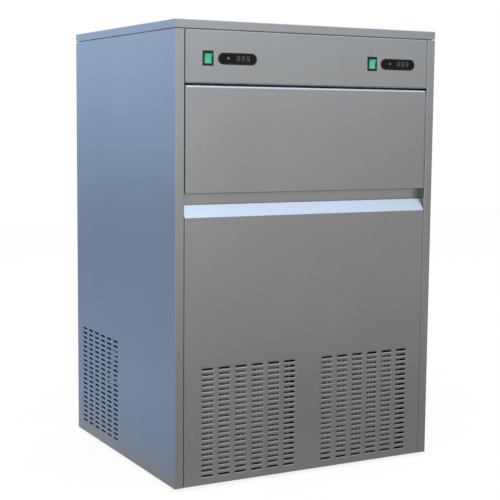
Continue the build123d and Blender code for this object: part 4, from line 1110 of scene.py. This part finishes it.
class ICE_OT_louvres(bpy.types.Operator):
    """Press a hood over each slot of the back panel, open at its bottom lip"""

    bl_idname = "ice_machine.louvres"
    bl_label = "Louvres"

    def execute(self, context):
        sizes = context.scene.ice_machine_sizes
        across, down = np.meshgrid(np.linspace(-1, 1, 25), np.linspace(0, 1, 7))
        # How far a point of a hood stands out: a quarter sine down it, closed in at both ends
        out = HOOD_REACH * np.sin(down * pi / 2) * np.sqrt(np.clip(1 - across**8, 0, 1))
        hood = np.stack([across * HOOD_LENGTH / 2, out, (0.5 - down) * HOOD_HEIGHT], -1)
        quads = [q[::-1] for q in grid_faces(*across.shape)]
        middle = BASE_Z + BACK_BANK_HEIGHT + HOOD_LIFT
        rows = middle + (np.arange(HOOD_ROWS) - (HOOD_ROWS - 1) / 2) * sizes.row_pitch
        places = [(hand * BACK_BANK_OFFSET, BACK_HIGH.y, z) for _, hand in SIDES for z in rows]
        points, faces = join_parts([(hood.reshape(-1, 3) + np.array(p), quads) for p in places])
        hoods = put_mesh("back_louvres", points, faces)
        thicken(hoods, HOOD_SHEET, even=False)
        finish_piece(hoods, "cabinet", MATERIALS["zinc_sheet"])
        return {"FINISHED"}


# Stage


def looking_rays(tree):
    """A light path, and a level that is 1 for rays from the camera or from a reflection."""
    path = add_node(tree, "ShaderNodeLightPath")
    seen = add_node(
        tree,
        "ShaderNodeMath",
        {"operation": "MAXIMUM"},
        {0: (path, "Is Camera Ray"), 1: (path, "Is Glossy Ray")},
    )
    return path, seen


def make_floor():
    """A matt floor that takes the lamps' light, and that looks white to the camera and in steel."""
    half = 6.0
    corners = [(-half, -half, 0), (half, -half, 0), (half, half, 0), (-half, half, 0)]
    floor = put_mesh("floor", corners, [[0, 1, 2, 3]], [False])
    material, tree = begin("Matt_white_floor")
    _, seen = looking_rays(tree)
    part = add_node(tree, "ShaderNodeMath", {"operation": "MULTIPLY", 1: 0.78}, {0: (seen, 0)})
    tint = mottled(tree, pattern(tree, 333.3 * MM), linear("#ececec"), linear("#f1f1f1"))
    matt = add_node(tree, "ShaderNodeBsdfDiffuse", {"Roughness": 0.5}, {"Color": (tint, 2)})
    white = add_node(tree, "ShaderNodeEmission", {"Strength": 1.08})
    both = add_node(
        tree, "ShaderNodeMixShader", links={0: (part, 0), 1: (matt, 0), 2: (white, 0)}
    )
    close(tree, both)
    floor.data.materials.append(material)


def make_world(scene):
    """A white surround: full for what is seen, mirrored or looked through, dimmer as a light."""
    world = bpy.data.worlds.new("Studio")
    scene.world = world
    world.use_nodes = True
    tree = world.node_tree
    tree.nodes.clear()
    path, seen = looking_rays(tree)
    clear = add_node(
        tree,
        "ShaderNodeMath",
        {"operation": "MAXIMUM"},
        {0: (seen, 0), 1: (path, "Is Transmission Ray")},
    )
    level = add_node(
        tree, "ShaderNodeMapRange", {"To Min": 0.75, "To Max": 1.0}, {"Value": (clear, 0)}
    )
    sky = add_node(
        tree, "ShaderNodeBackground", {"Color": (1, 1, 1, 1)}, {"Strength": (level, 0)}
    )
    add_node(tree, "ShaderNodeOutputWorld", links={"Surface": (sky, 0)})


def make_tent():
    """A tent of soft light that only reflections see: a dome of 5 m radius over the floor.
    Its glow grows with the distance from the floor right before the machine and with height,
    is brightest overhead at the front, falls off to the right, and is dim and blue at the
    left rear, as in open shade. Low down it is a little warm, and overhead a little cool."""
    radius, rows, columns = 5.0, 24, 48
    up_angle = np.linspace(-pi / 2, pi / 2, rows)[:, None]
    turn = np.arange(columns)[None, :] * 2 * pi / columns
    x = radius * np.cos(up_angle) * np.cos(turn)
    y = radius * np.cos(up_angle) * np.sin(turn)
    z = np.maximum(radius * np.sin(up_angle) + 0 * turn, 2 * MM)
    points = np.stack([x, y, z], -1).reshape(-1, 3)
    tent = put_mesh("light_tent", points, grid_faces(rows, columns, close_columns=True))
    material, tree = begin("Studio_light_tent")
    place = add_node(tree, "ShaderNodeTexCoord")
    parts = add_node(tree, "ShaderNodeSeparateXYZ", links={0: (place, "Object")})
    floor_before_it = (0.45, -0.75, 0)
    away = add_node(
        tree,
        "ShaderNodeVectorMath",
        {"operation": "DISTANCE", 1: floor_before_it},
        {0: (place, "Object")},
    )
    # Each level goes from start to end as its measure, in metres, goes from here to there
    levels = {}
    for name, measure, here, there, start, end in (
        ("glow", (away, "Value"), 0.1, 2.8, 0.41, 0.82),
        ("left dim", (parts, "X"), -0.35, -2.0, 1.0, 0.74),
        ("rear dim", (parts, "Y"), -1.6, 0.2, 1.0, 0.74),
        ("near rear dim", (parts, "Y"), 0.8, 1.4, 1.0, 0.82),
        ("far rear dim", (parts, "Y"), 3.9, 4.8, 1.0, 0.72),
        ("not at left", (parts, "X"), -0.5, -0.3, 0.0, 1.0),
        ("low wall", (parts, "Z"), 0.0, 1.2, 0.0, 0.58),
        ("right fall", (parts, "X"), 1.2, 3.2, 1.14, 0.68),
        ("overhead", (parts, "Z"), 1.9, 3.2, 0.0, 1.3),
        ("front", (parts, "Y"), -3.0, 1.5, 1.25, 0.4),
        ("left blue", (parts, "X"), -0.32, -0.44, 0.0, 1.0),
        ("rear blue", (parts, "Y"), -1.2, -0.4, 0.0, 1.0),
        ("high", (parts, "Z"), 1.2, 2.8, 0.0, 1.0),
    ):
        levels[name] = add_node(
            tree,
            "ShaderNodeMapRange",
            {"From Min": here, "From Max": there, "To Min": start, "To Max": end},
            {"Value": measure},
        )
    # The left rear is dimmed only where both of its measures say so
    for name, operation, first, second in (
        ("left rear", "MAXIMUM", "left dim", "rear dim"),
        ("near rear", "MAXIMUM", "near rear dim", "not at left"),
        ("far rear", "MAXIMUM", "far rear dim", "not at left"),
        ("shade", "MULTIPLY", "left rear", "near rear"),
        ("shade", "MULTIPLY", "shade", "far rear"),
        ("glow", "MULTIPLY", "glow", "shade"),
        ("glow", "ADD", "glow", "low wall"),
        ("glow", "MULTIPLY", "glow", "right fall"),
        ("overhead", "MULTIPLY", "overhead", "front"),
        ("glow", "ADD", "glow", "overhead"),
        ("blue", "MINIMUM", "left blue", "rear blue"),
    ):
        levels[name] = add_node(
            tree,
            "ShaderNodeMath",
            {"operation": operation},
            {0: (levels[first], 0), 1: (levels[second], 0)},
        )
    # Tints of the light, where 1 leaves a channel as it is
    warm = (1.0, 0.985, 0.91, 1.0)
    shade_blue = (0.76, 1.0, 1.4, 1.0)
    sky_blue = (0.84, 1.0, 1.16, 1.0)
    tint = add_node(
        tree,
        "ShaderNodeMix",
        {"data_type": "RGBA", 6: warm, 7: shade_blue},
        {0: (levels["blue"], 0)},
    )
    sky = add_node(
        tree,
        "ShaderNodeMix",
        {"data_type": "RGBA", 7: sky_blue},
        {0: (levels["high"], 0), 6: (tint, 2)},
    )
    path = add_node(tree, "ShaderNodeLightPath")
    clear = add_node(tree, "ShaderNodeBsdfTransparent")
    light = add_node(
        tree,
        "ShaderNodeEmission",
        links={"Color": (sky, 2), "Strength": (levels["glow"], 0)},
    )
    shown = add_node(
        tree,
        "ShaderNodeMixShader",
        links={0: (path, "Is Glossy Ray"), 1: (clear, 0), 2: (light, 0)},
    )
    close(tree, shown)
    tent.data.materials.append(material)


def add_lamp(name, place, size, energy, colour):
    """A soft area lamp that looks at the middle of the machine and shows in no reflection."""
    data = bpy.data.lights.new(name, "AREA")
    data.shape = "RECTANGLE"
    data.size, data.size_y = size
    data.energy = energy
    data.color = colour
    light = bpy.data.objects.new(name, data)
    light.location = place
    ahead = Vector((0, 0, 0.5)) - Vector(place)
    light.rotation_euler = ahead.to_track_quat("-Z", "Y").to_euler()
    light.visible_glossy = False
    bpy.context.scene.collection.objects.link(light)


def add_camera(scene):
    """The camera: it looks along the azimuth from +Y towards +X, down by the elevation, and is
    rolled about its own line of sight."""
    data = bpy.data.cameras.new("Camera")
    data.sensor_width = SENSOR_WIDTH
    data.lens = SENSOR_WIDTH * FOCAL_PIXELS / IMAGE_PIXELS
    data.clip_end = 100
    camera = bpy.data.objects.new("Camera", data)
    level = cos(CAMERA_ELEVATION)
    ahead = Vector(
        (sin(CAMERA_AZIMUTH) * level, cos(CAMERA_AZIMUTH) * level, -sin(CAMERA_ELEVATION))
    )
    right = ahead.cross(Vector((0, 0, 1))).normalized()
    top = right.cross(ahead)
    turned_right = right * cos(CAMERA_ROLL) + top * sin(CAMERA_ROLL)
    turned_top = top * cos(CAMERA_ROLL) - right * sin(CAMERA_ROLL)
    axes = Matrix((turned_right, turned_top, -ahead)).transposed().to_4x4()
    camera.matrix_world = Matrix.Translation(CAMERA_PLACE) @ axes
    scene.collection.objects.link(camera)
    scene.camera = camera


class ICE_OT_stage(bpy.types.Operator):
    """Set up the floor, the white surround, the soft lights and the camera"""

    bl_idname = "ice_machine.stage"
    bl_label = "Stage"

    def execute(self, context):
        scene = context.scene
        scene.view_settings.view_transform = "Standard"
        make_floor()
        make_world(scene)
        make_tent()
        add_lamp("key_lamp", (-1.8, -2.6, 2.6), (2.2, 1.6), 26, (1.0, 0.99, 0.97))
        add_lamp("fill_lamp", (2.6, -1.8, 1.6), (1.6, 1.6), 10, (1.0, 1.0, 1.0))
        add_lamp("rear_lamp", (0.5, 2.8, 2.2), (2.0, 1.4), 12, (1.0, 1.0, 1.0))
        add_camera(scene)
        return {"FINISHED"}


# Panel and registration

STEPS = (
    ICE_OT_finishes,
    ICE_OT_lower_panel,
    ICE_OT_left_side,
    ICE_OT_rockers,
    ICE_OT_displays,
    ICE_OT_fingers,
    ICE_OT_screws,
    ICE_OT_louvres,
    ICE_OT_edges,
    ICE_OT_stage,
)


class ICE_PT_panel(bpy.types.Panel):
    """The pieces of the ice machine, one button each"""

    bl_idname = "ICE_PT_panel"
    bl_label = "Ice Machine"
    bl_space_type = "VIEW_3D"
    bl_region_type = "UI"
    bl_category = "Ice Machine"

    def draw(self, context):
        for group in (context.scene.ice_machine_sizes, context.scene.ice_machine_colours):
            for name in group.__annotations__:
                self.layout.prop(group, name)
        for step in STEPS:
            self.layout.operator(step.bl_idname)


CLASSES = (IceMachineSizes, IceMachineColours, *STEPS, ICE_PT_panel)


def register():
    for made in CLASSES:
        bpy.utils.register_class(made)
    bpy.types.Scene.ice_machine_sizes = bpy.props.PointerProperty(type=IceMachineSizes)
    bpy.types.Scene.ice_machine_colours = bpy.props.PointerProperty(type=IceMachineColours)


def unregister():
    del bpy.types.Scene.ice_machine_colours
    del bpy.types.Scene.ice_machine_sizes
    for made in reversed(CLASSES):
        bpy.utils.unregister_class(made)


def main():
    """Register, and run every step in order."""
    register()
    for step in STEPS:
        group, name = step.bl_idname.split(".")
        getattr(getattr(bpy.ops, group), name)()


if __name__ == "__main__":
    main()
